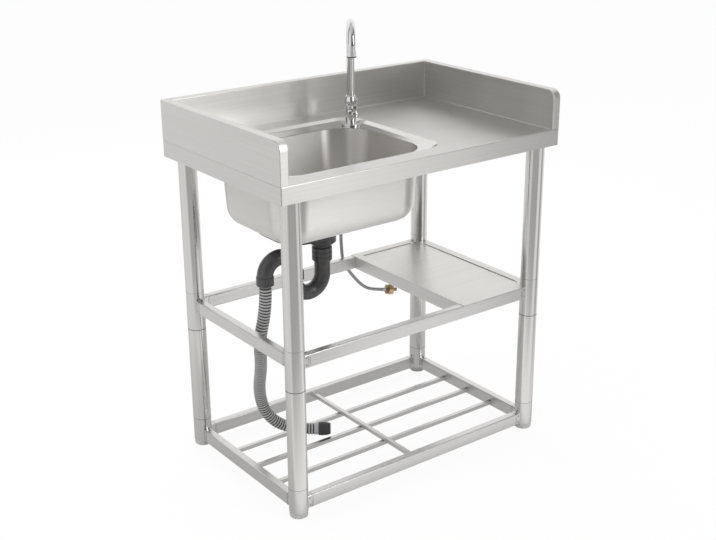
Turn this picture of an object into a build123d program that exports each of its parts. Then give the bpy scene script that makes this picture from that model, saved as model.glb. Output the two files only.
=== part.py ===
from build123d import *
from math import cos, pi, radians, sin, tan
import os

# Free-standing stainless kitchen sink table: worktop with splashes and a pressed bowl,
# a swivel tap, a plastic trap with a ribbed hose, and a tube frame with a shelf and a rack.
# Millimetres, +Z up, origin on the floor under the centre of the worktop, front towards -Y.

# ---- Worktop -----------------------------------------------------------------------------
TABLE_WIDTH = 800.0
TABLE_DEPTH = 500.0
TOP_HEIGHT = 800.0  # working surface above the floor
APRON_HEIGHT = 40.0
TOP_SHEET = 1.2
TOP_CORNER_RADIUS = 3.0
TOP_EDGE_RADIUS = 2.5
RETURN_FLANGE = 8.0  # lip folded inwards under the apron

# ---- Splashes: folded boxes welded on the left, back and right edges -----------------------
SPLASH_HEIGHT = 95.0
SPLASH_THICKNESS = 22.0
SPLASH_SHEET = 1.0
SPLASH_FRONT_RADIUS = 22.0
SPLASH_EDGE_RADIUS = 2.0

# ---- Bowl ----------------------------------------------------------------------------------
BOWL_LENGTH = 404.0
BOWL_WIDTH = 298.0
BOWL_LEFT_GAP = 25.0  # left splash to the opening
BOWL_FRONT_GAP = 65.0  # front edge of the worktop to the opening
BOWL_CORNER = 70.0
BOWL_TAP_CORNER = 95.0  # the wider corner beside the tap
BOWL_DEPTH = 170.0
BOWL_TAPER = 10.0  # how far each wall leans in on its way down
BOWL_FLOOR_RADIUS = 49.0
BOWL_SHEET = 1.0
BOWL_FLANGE = 12.0

# ---- Pressed recess round the bowl and the tap -----------------------------------------------
RECESS_DEPTH = 6.0
RECESS_SLOPE = 12.0
RECESS_CORNER = 55.0
RECESS_LEFT = 19.0  # opening of the bowl to the upper edge of the recess
RECESS_RIGHT = 39.0
RECESS_FRONT = 15.0
RECESS_BACK = 63.0
RECESS_BLEND = 4.0

# ---- Sound pad under the bowl ----------------------------------------------------------------
PAD_LENGTH = 176.0
PAD_WIDTH = 107.0
PAD_THICKNESS = 12.0
PAD_CORNER = 60.0
PAD_FROM_BOWL_EDGE = 56.0
PAD_GASKET_GAP = 4.0

# ---- Drain outlet ----------------------------------------------------------------------------
CUP_TOP_RADIUS = 43.0
CUP_BOTTOM_RADIUS = 30.0
CUP_DEPTH = 31.0
CUP_HOLES = 8
CUP_HOLE_RADIUS = 4.0
CUP_HOLE_CIRCLE = 19.0
DRAIN_SHEET = 0.8
DRAIN_HOLE_CLEARANCE = 2.0
DRAIN_RIM_WIDTH = 12.0
DRAIN_RIM_THICKNESS = 1.2
BASKET_GAP = 1.0  # basket wall to cup wall
BASKET_FLOOR_GAP = 1.2  # basket floor to the screw's head
BASKET_LIP = 4.0
BASKET_STEM_RADIUS = 3.0
BASKET_KNOB_RADIUS = 7.0
BASKET_KNOB_RISE = 9.0
BASKET_KNOB_THICKNESS = 6.0
BASKET_HOLES = 14
BASKET_HOLE_RADIUS = 2.5
BASKET_HOLE_CIRCLE = 21.0
GASKET_WIDTH = 5.0
GASKET_THICKNESS = 3.0
SCREW_RADIUS = 3.0
SCREW_HEAD_RADIUS = 5.0
SCREW_HEAD_HEIGHT = 3.0
SCREW_TIP = 2.0  # thread showing below its hub
SCREW_CLEARANCE = 0.2
FUNNEL_WALL = 3.0
FUNNEL_RIM_HEIGHT = 7.0
FUNNEL_GAP = 2.0  # between the cup and the funnel, at the side and below
CHAMBER_STEP = 1.0  # chamber narrower than the funnel's neck
CHAMBER_HEIGHT = 12.0
SHOULDER_RADIUS = 27.0
SHOULDER_HEIGHT = 6.0
SPIGOT_RADIUS = 20.0
SPIGOT_LENGTH = 17.0
HUB_RADIUS = 6.0
HUB_DROP = 2.0  # below the top of the chamber
HUB_HEIGHT = 8.0
HUB_ARMS = 3
HUB_ARM_WIDTH = 3.0

# ---- Trap ------------------------------------------------------------------------------------
PIPE_RADIUS = 19.0
PIPE_WALL = 2.5
PIPE_GAP = 0.8  # between the ends of two pipes inside a nut
TRAP_BEND_RADIUS = 40.0
TRAP_DROP = 55.0  # straight length below the outlet spigot
TRAP_RISE = 19.0  # straight length after the lower bend
NUT_WALL = 4.0
NUT_CLEARANCE = 0.1
NUT_CHAMFER = 1.5
NUT_GROOVE_DEPTH = 1.0
NUT_GROOVE_WIDTH = 2.0
COUPLING_NUT_RISE = 10.0  # above the joint of spigot and pipe
COUPLING_NUT_DROP = 24.0
RISER_NUT_INSET = 0.5  # between the riser's nut and the bends above and below it
RETURN_RISE = 4.0
RETURN_DROP = 18.0
COLLAR_WALL = 1.5
COLLAR_HEIGHT = 20.0

# ---- Drain hose ------------------------------------------------------------------------------
HOSE_CREST_RADIUS = 15.0
HOSE_RIB_HEIGHT = 1.8
HOSE_WALL = 1.7
HOSE_PITCH = 7.5
HOSE_VALLEY_END = 0.3  # shares of one rib's length
HOSE_CREST_START = 0.45
HOSE_CREST_END = 0.85
HOSE_END_LENGTH = 31.0
HOSE_END_OVERHANG = 2.0  # sleeve's mouth beyond the hose's crests
HOSE_END_TAPER = 1.0
HOSE_END_EDGE = 1.5
HOSE_END_SOCKET_RADIUS = 13.0
HOSE_END_SOCKET_DEPTH = 25.0

# ---- Tap -------------------------------------------------------------------------------------
TAP_GAP = 35.1  # opening of the bowl to the tap's axis, across the wide corner
TAP_BEARING = 46.2  # degrees from +X, seen from the middle of that corner
TAP_HOLE_CLEARANCE = 0.5
TAP_FLANGE_RADIUS = 23.5
TAP_FLANGE_HEIGHT = 5.0
TAP_FLANGE_EDGE = 2.0
TAP_BODY_HEIGHT = 66.0
# body outline: wall outside the spout's radius, and share of the body's height
TAP_BODY_CONTOUR = [
    (2.5, 0),
    (3.1, 0.12),
    (4.5, 0.30),
    (2.9, 0.47),
    (2.0, 0.55),
    (3.7, 0.65),
    (5.9, 0.76),
    (5.1, 0.88),
    (2.5, 1),
]
SPOUT_RADIUS = 9.5
SPOUT_WALL = 1.0
SPOUT_SOCKET_DEPTH = 20.0
SPOUT_COLUMN_TOP = 202.0  # from the tap's flange to the start of the bend
SPOUT_BEND_RADIUS = 50.0
SPOUT_TIP_DROP = 15.5
SPOUT_BEARING = 235.4
SPOUT_END_GAP = 0.2
AERATOR_WALL = 1.5
AERATOR_HEIGHT = 14.0
AERATOR_SLEEVE = 7.0
AERATOR_OUTLET_RADIUS = 7.0
AERATOR_EDGE = 1.0
RUNNING_CLEARANCE = 0.05
WATERWAY_RADIUS = 5.0
LEVER_RISE = 26.0  # lever axis above the tap's flange
LEVER_BEARING = 252.0
BONNET_RADIUS = 9.0
BONNET_REACH = 22.0
CARTRIDGE_RADIUS = 7.0
CARTRIDGE_BACK = 7.0  # how far it passes the tap's axis
SPINDLE_RADIUS = 3.0
SPINDLE_LENGTH = 5.0
LEVER_HUB_RADIUS = 9.5
LEVER_HUB_LENGTH = 9.7
LEVER_HUB_EDGE = 1.0
LEVER_GAP = 0.3
LEVER_LENGTH = 42.0
LEVER_ROOT = 5.0  # where the blade grows out of the hub, above its axis
LEVER_ROOT_WIDTH = 10.0
LEVER_ROOT_THICKNESS = 5.0
LEVER_TIP_WIDTH = 8.0
LEVER_TIP_THICKNESS = 3.6
LEVER_LEAN = 3.5
LEVER_EDGE = 1.0
SHANK_RADIUS = 10.0
SHANK_LENGTH = 49.0
SHANK_CLEARANCE = 0.1
TAP_WASHER_RADIUS = 20.0
TAP_WASHER_THICKNESS = 3.0
TAP_NUT_RADIUS = 16.0
TAP_NUT_HEIGHT = 8.0

# ---- Supply hose -----------------------------------------------------------------------------
SUPPLY_STEM_LENGTH = 6.0
SUPPLY_HEX_RADIUS = 8.0
SUPPLY_HEX_HEIGHT = 10.0
SUPPLY_CRIMP_WALL = 2.0
SUPPLY_CRIMP_HEIGHT = 18.0
SUPPLY_RADIUS = 4.5
SUPPLY_BORE_RADIUS = 3.0
SUPPLY_COLLAR_RADIUS = 11.0
SUPPLY_COLLAR_LENGTH = 3.0
SUPPLY_TAIL_RADIUS = 6.0
SUPPLY_BARB_RADIUS = 5.0
SUPPLY_BARB_LENGTH = 15.0
SUPPLY_NUT_RADIUS = 16.0
SUPPLY_NUT_LENGTH = 15.0
SUPPLY_NUT_THREAD_RADIUS = 10.4
SUPPLY_NUT_SEAT = 3.0

# ---- Legs ------------------------------------------------------------------------------------
LEG_RADIUS = 22.5
LEG_WALL = 1.2
LEG_SIDE_GAP = 13.5  # return lip to the leg's surface
LEG_FRONT_GAP = 1.5
LEG_TOP_GAP = 2.8  # leg top to the underside of the worktop
SOCKET_WALL = 1.5
SOCKET_CLEARANCE = 0.1
SOCKET_FLANGE_WIDTH = 5.0
SOCKET_FLANGE_THICKNESS = 2.0
SOCKET_ABOVE_APRON = 2.0
JOINT_ABOVE_MID_RAIL = 19.0
JOINT_BELOW_MID_RAIL = 47.0
JOINT_ABOVE_LOWER_RAIL = 29.0
JOINT_FIT = 0.1  # spigots in tubes and plugs in rails
JOINT_SPIGOT = 25.0
JOINT_WALL = 2.7
JOINT_FLOOR = 16.0
ARM_REACH = 12.0  # arm end beyond the leg's surface
PLUG_LENGTH = 18.0
FOOT_INSET = 1.0  # pad narrower than the leg
FOOT_HEIGHT = 13.8
FOOT_EDGE = 3.0
FOOT_GAP = 0.2
FOOT_STEM_RADIUS = 6.0
FOOT_STEM_LENGTH = 36.0

# ---- Rails -----------------------------------------------------------------------------------
RAIL_THICKNESS = 20.0
RAIL_HEIGHT = 32.0
RAIL_WALL = 1.2
RAIL_CORNER = 3.0
MID_RAIL_TOP = 400.0

# ---- Shelf -----------------------------------------------------------------------------------
SHELF_LENGTH = 238.0
SHELF_SHEET = 1.0
SHELF_PRESS_DEPTH = 2.0
SHELF_PRESS_MARGIN = 1.0  # pressed field inside the rails
SHELF_LEFT_MARGIN = 21.0
SHELF_PRESS_CORNER = 30.0
SHELF_PRESS_LEFT_CORNER = 4.0
SHELF_FOLD = 33.0
SHELF_LIP = 10.0
SHELF_LEG_CLEARANCE = 0.5

# ---- Rack ------------------------------------------------------------------------------------
RACK_BAR = 10.0
RACK_BARS = 3
RACK_PITCH = 94.0
RACK_MIDDLE = -7.0
RACK_RISE = 5.0  # above the underside of the lower rails
RACK_CROSS_X = -14.0
RACK_BAR_CLEARANCE = 0.2

# ---- Levels and places that follow ---------------------------------------------------------
APRON_BOTTOM = TOP_HEIGHT - APRON_HEIGHT
TOP_UNDERSIDE = TOP_HEIGHT - TOP_SHEET
RECESS_FLOOR = TOP_HEIGHT - RECESS_DEPTH
RECESS_UNDERSIDE = RECESS_FLOOR - TOP_SHEET
BOWL_FLOOR = RECESS_UNDERSIDE - BOWL_DEPTH
BOWL_UNDERSIDE = BOWL_FLOOR - BOWL_SHEET
BOWL_LEFT = -TABLE_WIDTH / 2 + SPLASH_THICKNESS + BOWL_LEFT_GAP
BOWL_FRONT = -TABLE_DEPTH / 2 + BOWL_FRONT_GAP
BOWL_RIGHT = BOWL_LEFT + BOWL_LENGTH
BOWL_BACK = BOWL_FRONT + BOWL_WIDTH
BOWL_X = (BOWL_LEFT + BOWL_RIGHT) / 2
BOWL_Y = (BOWL_FRONT + BOWL_BACK) / 2

DRAIN_HOLE_RADIUS = CUP_TOP_RADIUS + DRAIN_HOLE_CLEARANCE
GASKET_RADIUS = DRAIN_HOLE_RADIUS + GASKET_WIDTH
GASKET_BOTTOM = BOWL_UNDERSIDE - GASKET_THICKNESS
NECK_DEPTH = CUP_DEPTH - BOWL_SHEET - GASKET_THICKNESS + FUNNEL_GAP
CHAMBER_TOP_DEPTH = NECK_DEPTH + FUNNEL_WALL
CHAMBER_DEPTH = CHAMBER_TOP_DEPTH + CHAMBER_HEIGHT
SHOULDER_DEPTH = CHAMBER_DEPTH + SHOULDER_HEIGHT
HUB_BOTTOM = GASKET_BOTTOM - CHAMBER_TOP_DEPTH - HUB_DROP - HUB_HEIGHT
SPIGOT_BOTTOM = GASKET_BOTTOM - SHOULDER_DEPTH - SPIGOT_LENGTH
TRAP_INLET = SPIGOT_BOTTOM - PIPE_GAP
TRAP_LOW = TRAP_INLET - TRAP_DROP
TRAP_JOINT = TRAP_LOW + TRAP_RISE
RETURN_START = TRAP_JOINT + PIPE_GAP
RETURN_LEVEL = RETURN_START + RETURN_RISE
RETURN_OUTLET = RETURN_LEVEL - RETURN_DROP
RISER_NUT_BOTTOM = RISER_NUT_INSET - TRAP_RISE
RISER_NUT_TOP = RETURN_LEVEL - TRAP_JOINT - RISER_NUT_INSET
TRAP_RISER_X = BOWL_X - 2 * TRAP_BEND_RADIUS
RETURN_X = TRAP_RISER_X - 2 * TRAP_BEND_RADIUS
HOSE_VALLEY_RADIUS = HOSE_CREST_RADIUS - HOSE_RIB_HEIGHT
HOSE_BORE_RADIUS = HOSE_VALLEY_RADIUS - HOSE_WALL

TAP_X = BOWL_RIGHT - BOWL_TAP_CORNER + (BOWL_TAP_CORNER + TAP_GAP) * cos(radians(TAP_BEARING))
TAP_Y = BOWL_BACK - BOWL_TAP_CORNER + (BOWL_TAP_CORNER + TAP_GAP) * sin(radians(TAP_BEARING))
TAP_BASE = RECESS_FLOOR + TAP_FLANGE_HEIGHT
SPOUT_DIRECTION = Vector(cos(radians(SPOUT_BEARING)), sin(radians(SPOUT_BEARING)), 0)
LEVER_DIRECTION = Vector(cos(radians(LEVER_BEARING)), sin(radians(LEVER_BEARING)), 0)
LEVER_SIDEWAYS = Vector(0, 0, 1).cross(LEVER_DIRECTION)
LEVER_LEVEL = TAP_BASE + LEVER_RISE
SHANK_BOTTOM = TAP_BASE - SHANK_LENGTH
SUPPLY_START = SHANK_BOTTOM - SUPPLY_HEX_HEIGHT - SUPPLY_CRIMP_HEIGHT

LEG_X = TABLE_WIDTH / 2 - RETURN_FLANGE - LEG_SIDE_GAP - LEG_RADIUS
LEG_Y = TABLE_DEPTH / 2 - RETURN_FLANGE - LEG_FRONT_GAP - LEG_RADIUS
LEG_TOP = TOP_UNDERSIDE - LEG_TOP_GAP
LEG_BORE = LEG_RADIUS - LEG_WALL
LEG_SPOTS = [(side * LEG_X, end * LEG_Y) for side in (-1, 1) for end in (-1, 1)]
SOCKET_RADIUS = LEG_RADIUS + SOCKET_CLEARANCE + SOCKET_WALL
LOWER_RAIL_BOTTOM = FOOT_HEIGHT + FOOT_GAP
MID_RAIL_BOTTOM = MID_RAIL_TOP - RAIL_HEIGHT
MIDDLE_JOINT_TOP = MID_RAIL_TOP + JOINT_ABOVE_MID_RAIL
MIDDLE_JOINT_BOTTOM = MID_RAIL_BOTTOM - JOINT_BELOW_MID_RAIL
BOTTOM_JOINT_TOP = LOWER_RAIL_BOTTOM + RAIL_HEIGHT + JOINT_ABOVE_LOWER_RAIL
ARM_END = LEG_RADIUS + ARM_REACH
RACK_BOTTOM = LOWER_RAIL_BOTTOM + RACK_RISE
RACK_TOP = RACK_BOTTOM + RACK_BAR

# ---- Routes of the two free hoses, chosen by hand ---------------------------------------------
DRAIN_HOSE_ROUTE = [
    (RETURN_X, BOWL_Y, RETURN_OUTLET),
    (RETURN_X, BOWL_Y, 446),
    (-323, -20, 359),
    (-295, 20, 271),
    (-265, 88, 168),
    (-243, 92, 92),
    (-188, 70, 44),
    (-128, 27, 44),
]
SUPPLY_HOSE_ROUTE = [
    (TAP_X, TAP_Y, SUPPLY_START),
    (TAP_X, TAP_Y, 638),
    (59, 158, 567),
    (74, 199, 500),
    (95, 227, 436),
    (113, 245, 378),
    (145, 243, 331),
    (178, 237, 293),
    (213, 235, 278),
    (250, 230, 271),
]
ROUTE_SHARE = 0.45  # of the shorter run, taken up by the arc at each of its ends


def save(piece, label):
    """Names a finished piece and writes it as its own file."""
    piece.part.label = label
    export_step(piece.part, f"parts/{label}.step")


def level(height, x=0.0, y=0.0):
    """A level plane at a height, with its origin over the spot (x, y)."""
    return Plane(origin=(x, y, height), x_dir=(1, 0, 0), z_dir=(0, 0, 1))


def turned(x, y, height, profile):
    """A solid turned about the upright axis over (x, y); the profile is (radius, rise) points."""
    with BuildPart() as piece:
        with BuildSketch(Plane(origin=(x, y, height), x_dir=(1, 0, 0), z_dir=(0, -1, 0))):
            with BuildLine():
                Polyline(*profile, close=True)
            make_face()
        revolve(axis=Axis((x, y, height), (0, 0, 1)))
    return piece


def ring_profile(bore, radius, height):
    """Profile of a plain ring or tube, standing on its plane."""
    return [(bore, 0), (radius, 0), (radius, height), (bore, height)]


def corner_radii(route):
    """The largest arcs that the runs on both sides of each corner allow."""
    points = [Vector(point) for point in route]
    radii = []
    for before, corner, after in zip(points, points[1:], points[2:]):
        turn = radians((corner - before).get_angle(after - corner))
        shorter = min((corner - before).length, (after - corner).length)
        radii.append(ROUTE_SHARE * shorter / tan(turn / 2))
    return radii


def rounded_route(label, route):
    """Straight runs joined by tangent arcs, as one wire."""
    radii = corner_radii(route)
    print(label, "corner radii", [round(radius, 1) for radius in radii])
    with BuildLine() as line:
        FilletPolyline(*route, radius=radii)
    return line.wires()[0]


def report_volume(label, piece, section, length):
    """Compares a swept tube's volume with its section times its length."""
    print(label, "length", round(length, 1), "volume ratio", round(piece.part.volume / (section * length), 4))


# ==== Top ======================================================================================


def recess_outline(shrink, height):
    """The recess in plan, its edge moved in by shrink."""
    length = BOWL_LENGTH + RECESS_LEFT + RECESS_RIGHT
    width = BOWL_WIDTH + RECESS_FRONT + RECESS_BACK
    middle_x = BOWL_X + (RECESS_RIGHT - RECESS_LEFT) / 2
    middle_y = BOWL_Y + (RECESS_BACK - RECESS_FRONT) / 2
    with BuildSketch(level(height, middle_x, middle_y)) as outline:
        RectangleRounded(length - 2 * shrink, width - 2 * shrink, RECESS_CORNER - shrink)
    return outline.sketch


def towards_tap(outline):
    """The corners of an outline, the one beside the tap last."""
    return outline.vertices().sort_by(lambda corner: corner.X + corner.Y)


def bowl_outline(grow, height):
    """The bowl's opening in plan, its edge moved out by grow."""
    with BuildSketch(level(height, BOWL_X, BOWL_Y)) as outline:
        Rectangle(BOWL_LENGTH + 2 * grow, BOWL_WIDTH + 2 * grow)
        fillet(towards_tap(outline)[:-1], BOWL_CORNER + grow)
        fillet(towards_tap(outline)[-1], BOWL_TAP_CORNER + grow)
    return outline.sketch


def make_worktop():
    """Folded worktop with apron, return lip, pressed recess and four welded leg sockets."""
    with BuildPart() as worktop:
        with BuildSketch(level(APRON_BOTTOM)):
            RectangleRounded(TABLE_WIDTH, TABLE_DEPTH, TOP_CORNER_RADIUS)
        extrude(amount=APRON_HEIGHT)
        fillet(worktop.faces().sort_by(Axis.Z)[-1].edges(), TOP_EDGE_RADIUS)
        # hollow under the sheet
        with BuildSketch(level(APRON_BOTTOM + TOP_SHEET)):
            inner_corner = TOP_CORNER_RADIUS - TOP_SHEET
            RectangleRounded(TABLE_WIDTH - 2 * TOP_SHEET, TABLE_DEPTH - 2 * TOP_SHEET, inner_corner)
        extrude(amount=APRON_HEIGHT - 2 * TOP_SHEET, mode=Mode.SUBTRACT)
        # mouth inside the return lip
        with BuildSketch(level(APRON_BOTTOM)):
            Rectangle(TABLE_WIDTH - 2 * RETURN_FLANGE, TABLE_DEPTH - 2 * RETURN_FLANGE)
        extrude(amount=TOP_SHEET, mode=Mode.SUBTRACT)
        # leg sockets and their round flanges
        socket_bottom = APRON_BOTTOM + SOCKET_ABOVE_APRON
        with BuildSketch(level(socket_bottom)):
            with Locations(*LEG_SPOTS):
                Circle(SOCKET_RADIUS)
        extrude(amount=TOP_UNDERSIDE - socket_bottom)
        with BuildSketch(level(TOP_UNDERSIDE - SOCKET_FLANGE_THICKNESS)):
            with Locations(*LEG_SPOTS):
                Circle(SOCKET_RADIUS + SOCKET_FLANGE_WIDTH)
        extrude(amount=SOCKET_FLANGE_THICKNESS)
        with BuildSketch(level(socket_bottom)):
            with Locations(*LEG_SPOTS):
                Circle(LEG_RADIUS + SOCKET_CLEARANCE)
        extrude(amount=TOP_UNDERSIDE - socket_bottom, mode=Mode.SUBTRACT)
        # pressed recess: its sheet, then its hollow
        loft([recess_outline(RECESS_SLOPE, RECESS_UNDERSIDE), recess_outline(0, TOP_UNDERSIDE)])
        loft([recess_outline(RECESS_SLOPE, RECESS_FLOOR), recess_outline(0, TOP_HEIGHT)], mode=Mode.SUBTRACT)
        rim = worktop.faces().sort_by(Axis.Z)[-1].inner_wires()[0]
        fillet(rim.edges(), RECESS_BLEND)
        # openings for the bowl and the tap
        extrude(bowl_outline(0, RECESS_UNDERSIDE), amount=TOP_SHEET, mode=Mode.SUBTRACT)
        with BuildSketch(level(RECESS_UNDERSIDE, TAP_X, TAP_Y)):
            Circle(SHANK_RADIUS + TAP_HOLE_CLEARANCE)
        extrude(amount=TOP_SHEET, mode=Mode.SUBTRACT)
    save(worktop, "worktop")


def side_splash_profile(left_x, inset):
    """Side view of a splash, its front top corner rounded, its edge moved in by inset."""
    with BuildSketch(Plane(origin=(left_x, 0, TOP_HEIGHT), x_dir=(0, 1, 0), z_dir=(1, 0, 0))) as profile:
        Rectangle(TABLE_DEPTH - 2 * inset, SPLASH_HEIGHT - inset, align=(Align.CENTER, Align.MIN))
        front_top = profile.vertices().group_by(Axis.Y)[-1].sort_by(Axis.X)[0]
        fillet(front_top, SPLASH_FRONT_RADIUS - inset)
    return profile.sketch


def make_side_splash(label, left_x):
    """Folded box open at the bottom, along one end of the worktop."""
    with BuildPart() as splash:
        extrude(side_splash_profile(left_x, 0), amount=SPLASH_THICKNESS)
        bottom_edges = splash.edges().group_by(Axis.Z)[0]
        fillet(splash.edges() - bottom_edges, SPLASH_EDGE_RADIUS)
        hollow = side_splash_profile(left_x + SPLASH_SHEET, SPLASH_SHEET)
        extrude(hollow, amount=SPLASH_THICKNESS - 2 * SPLASH_SHEET, mode=Mode.SUBTRACT)
    save(splash, label)


def make_back_splash():
    """Folded box between the two side splashes."""
    length = TABLE_WIDTH - 2 * SPLASH_THICKNESS
    middle_y = TABLE_DEPTH / 2 - SPLASH_THICKNESS / 2
    with BuildPart() as back_splash:
        with BuildSketch(level(TOP_HEIGHT, 0, middle_y)):
            Rectangle(length, SPLASH_THICKNESS)
        extrude(amount=SPLASH_HEIGHT)
        top_edges = back_splash.edges().group_by(Axis.Z)[-1].filter_by(Axis.X)
        fillet(top_edges, SPLASH_EDGE_RADIUS)
        with BuildSketch(level(TOP_HEIGHT, 0, middle_y)):
            Rectangle(length - 2 * SPLASH_SHEET, SPLASH_THICKNESS - 2 * SPLASH_SHEET)
        extrude(amount=SPLASH_HEIGHT - SPLASH_SHEET, mode=Mode.SUBTRACT)
    save(back_splash, "back_splash")


def bowl_shape(grow, bottom, floor_radius):
    """The solid inside one face of the bowl's sheet, from a level bottom up to the worktop."""
    with BuildPart() as shape:
        loft([bowl_outline(grow - BOWL_TAPER, bottom), bowl_outline(grow, RECESS_UNDERSIDE)])
        fillet(shape.faces().sort_by(Axis.Z)[0].edges(), floor_radius)
    return shape.part


def make_sink_bowl():
    """Pressed bowl with its welding flange and drain hole."""
    with BuildPart() as sink_bowl:
        add(bowl_shape(BOWL_SHEET, BOWL_UNDERSIDE, BOWL_FLOOR_RADIUS + BOWL_SHEET))
        extrude(bowl_outline(BOWL_FLANGE, RECESS_UNDERSIDE - BOWL_SHEET), amount=BOWL_SHEET)
        add(bowl_shape(0, BOWL_FLOOR, BOWL_FLOOR_RADIUS), mode=Mode.SUBTRACT)
        with BuildSketch(level(BOWL_UNDERSIDE, BOWL_X, BOWL_Y)):
            Circle(DRAIN_HOLE_RADIUS)
        extrude(amount=BOWL_SHEET, mode=Mode.SUBTRACT)
    save(sink_bowl, "sink_bowl")


def make_sound_pad():
    """Rubber pad glued under the bowl, cut round beside the drain."""
    pad_x = BOWL_LEFT + PAD_FROM_BOWL_EDGE + PAD_WIDTH / 2
    with BuildPart() as sound_pad:
        with BuildSketch(level(BOWL_UNDERSIDE - PAD_THICKNESS)) as outline:
            with Locations((pad_x, BOWL_Y)):
                Rectangle(PAD_WIDTH, PAD_LENGTH)
            fillet(outline.vertices().group_by(Axis.X)[0], PAD_CORNER)
            with Locations((BOWL_X, BOWL_Y)):
                Circle(GASKET_RADIUS + PAD_GASKET_GAP, mode=Mode.SUBTRACT)
        extrude(amount=PAD_THICKNESS)
    save(sound_pad, "sound_pad")


# ==== Drain ====================================================================================


def make_drain_flange():
    """Pressed outlet: a flat rim on the bowl's floor and a tapered cup through its hole."""
    profile = [
        (SCREW_RADIUS + SCREW_CLEARANCE, -CUP_DEPTH),
        (CUP_BOTTOM_RADIUS, -CUP_DEPTH),
        (CUP_TOP_RADIUS, 0),
        (DRAIN_HOLE_RADIUS + DRAIN_RIM_WIDTH, 0),
        (DRAIN_HOLE_RADIUS + DRAIN_RIM_WIDTH, DRAIN_RIM_THICKNESS),
        (CUP_TOP_RADIUS - DRAIN_SHEET, DRAIN_RIM_THICKNESS),
        (CUP_BOTTOM_RADIUS - DRAIN_SHEET, -CUP_DEPTH + DRAIN_SHEET),
        (SCREW_RADIUS + SCREW_CLEARANCE, -CUP_DEPTH + DRAIN_SHEET),
    ]
    with BuildPart() as drain_flange:
        add(turned(BOWL_X, BOWL_Y, BOWL_FLOOR, profile).part)
        with BuildSketch(level(BOWL_FLOOR - CUP_DEPTH, BOWL_X, BOWL_Y)):
            with PolarLocations(CUP_HOLE_CIRCLE, CUP_HOLES):
                Circle(CUP_HOLE_RADIUS)
        extrude(amount=DRAIN_SHEET, mode=Mode.SUBTRACT)
    save(drain_flange, "drain_flange")


def make_strainer_basket():
    """Lift-out basket: its lip lies on the outlet's rim and its wall runs along the cup's."""
    lean = (CUP_TOP_RADIUS - CUP_BOTTOM_RADIUS) / CUP_DEPTH
    depth = CUP_DEPTH - DRAIN_SHEET - SCREW_HEAD_HEIGHT - BASKET_FLOOR_GAP
    top_radius = CUP_TOP_RADIUS - DRAIN_SHEET - BASKET_GAP
    bottom_radius = top_radius - lean * (depth + DRAIN_RIM_THICKNESS)
    lip_radius = top_radius + BASKET_GAP + BASKET_LIP
    lip_top = DRAIN_RIM_THICKNESS + DRAIN_SHEET
    knob_top = DRAIN_RIM_THICKNESS + BASKET_KNOB_RISE
    knob_bottom = knob_top - BASKET_KNOB_THICKNESS
    profile = [
        (0, -depth),
        (bottom_radius, -depth),
        (top_radius, DRAIN_RIM_THICKNESS),
        (lip_radius, DRAIN_RIM_THICKNESS),
        (lip_radius, lip_top),
        (top_radius - DRAIN_SHEET, lip_top),
        (bottom_radius - DRAIN_SHEET, DRAIN_SHEET - depth),
        (BASKET_STEM_RADIUS, DRAIN_SHEET - depth),
        (BASKET_STEM_RADIUS, knob_bottom),
        (BASKET_KNOB_RADIUS, knob_bottom + DRAIN_SHEET),
        (BASKET_KNOB_RADIUS, knob_top - DRAIN_SHEET),
        (0, knob_top),
    ]
    with BuildPart() as strainer_basket:
        add(turned(BOWL_X, BOWL_Y, BOWL_FLOOR, profile).part)
        with BuildSketch(level(BOWL_FLOOR - depth, BOWL_X, BOWL_Y)):
            with PolarLocations(BASKET_HOLE_CIRCLE, BASKET_HOLES):
                Circle(BASKET_HOLE_RADIUS)
            with PolarLocations(BASKET_HOLE_CIRCLE / 2, BASKET_HOLES // 2):
                Circle(BASKET_HOLE_RADIUS)
        extrude(amount=DRAIN_SHEET, mode=Mode.SUBTRACT)
    save(strainer_basket, "strainer_basket")


def make_drain_gasket():
    """Rubber ring between the bowl's underside and the outlet's body."""
    profile = ring_profile(DRAIN_HOLE_RADIUS, GASKET_RADIUS, GASKET_THICKNESS)
    save(turned(BOWL_X, BOWL_Y, GASKET_BOTTOM, profile), "drain_gasket")


def make_drain_screw():
    """Long screw that pulls the outlet and its body together through the hub."""
    head_seat = BOWL_FLOOR - CUP_DEPTH + DRAIN_SHEET
    tip = HUB_BOTTOM - SCREW_TIP
    profile = [
        (0, tip - head_seat),
        (SCREW_RADIUS, tip - head_seat),
        (SCREW_RADIUS, 0),
        (SCREW_HEAD_RADIUS, 0),
        (SCREW_HEAD_RADIUS, SCREW_HEAD_HEIGHT),
        (0, SCREW_HEAD_HEIGHT),
    ]
    save(turned(BOWL_X, BOWL_Y, head_seat, profile), "drain_screw")


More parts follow.
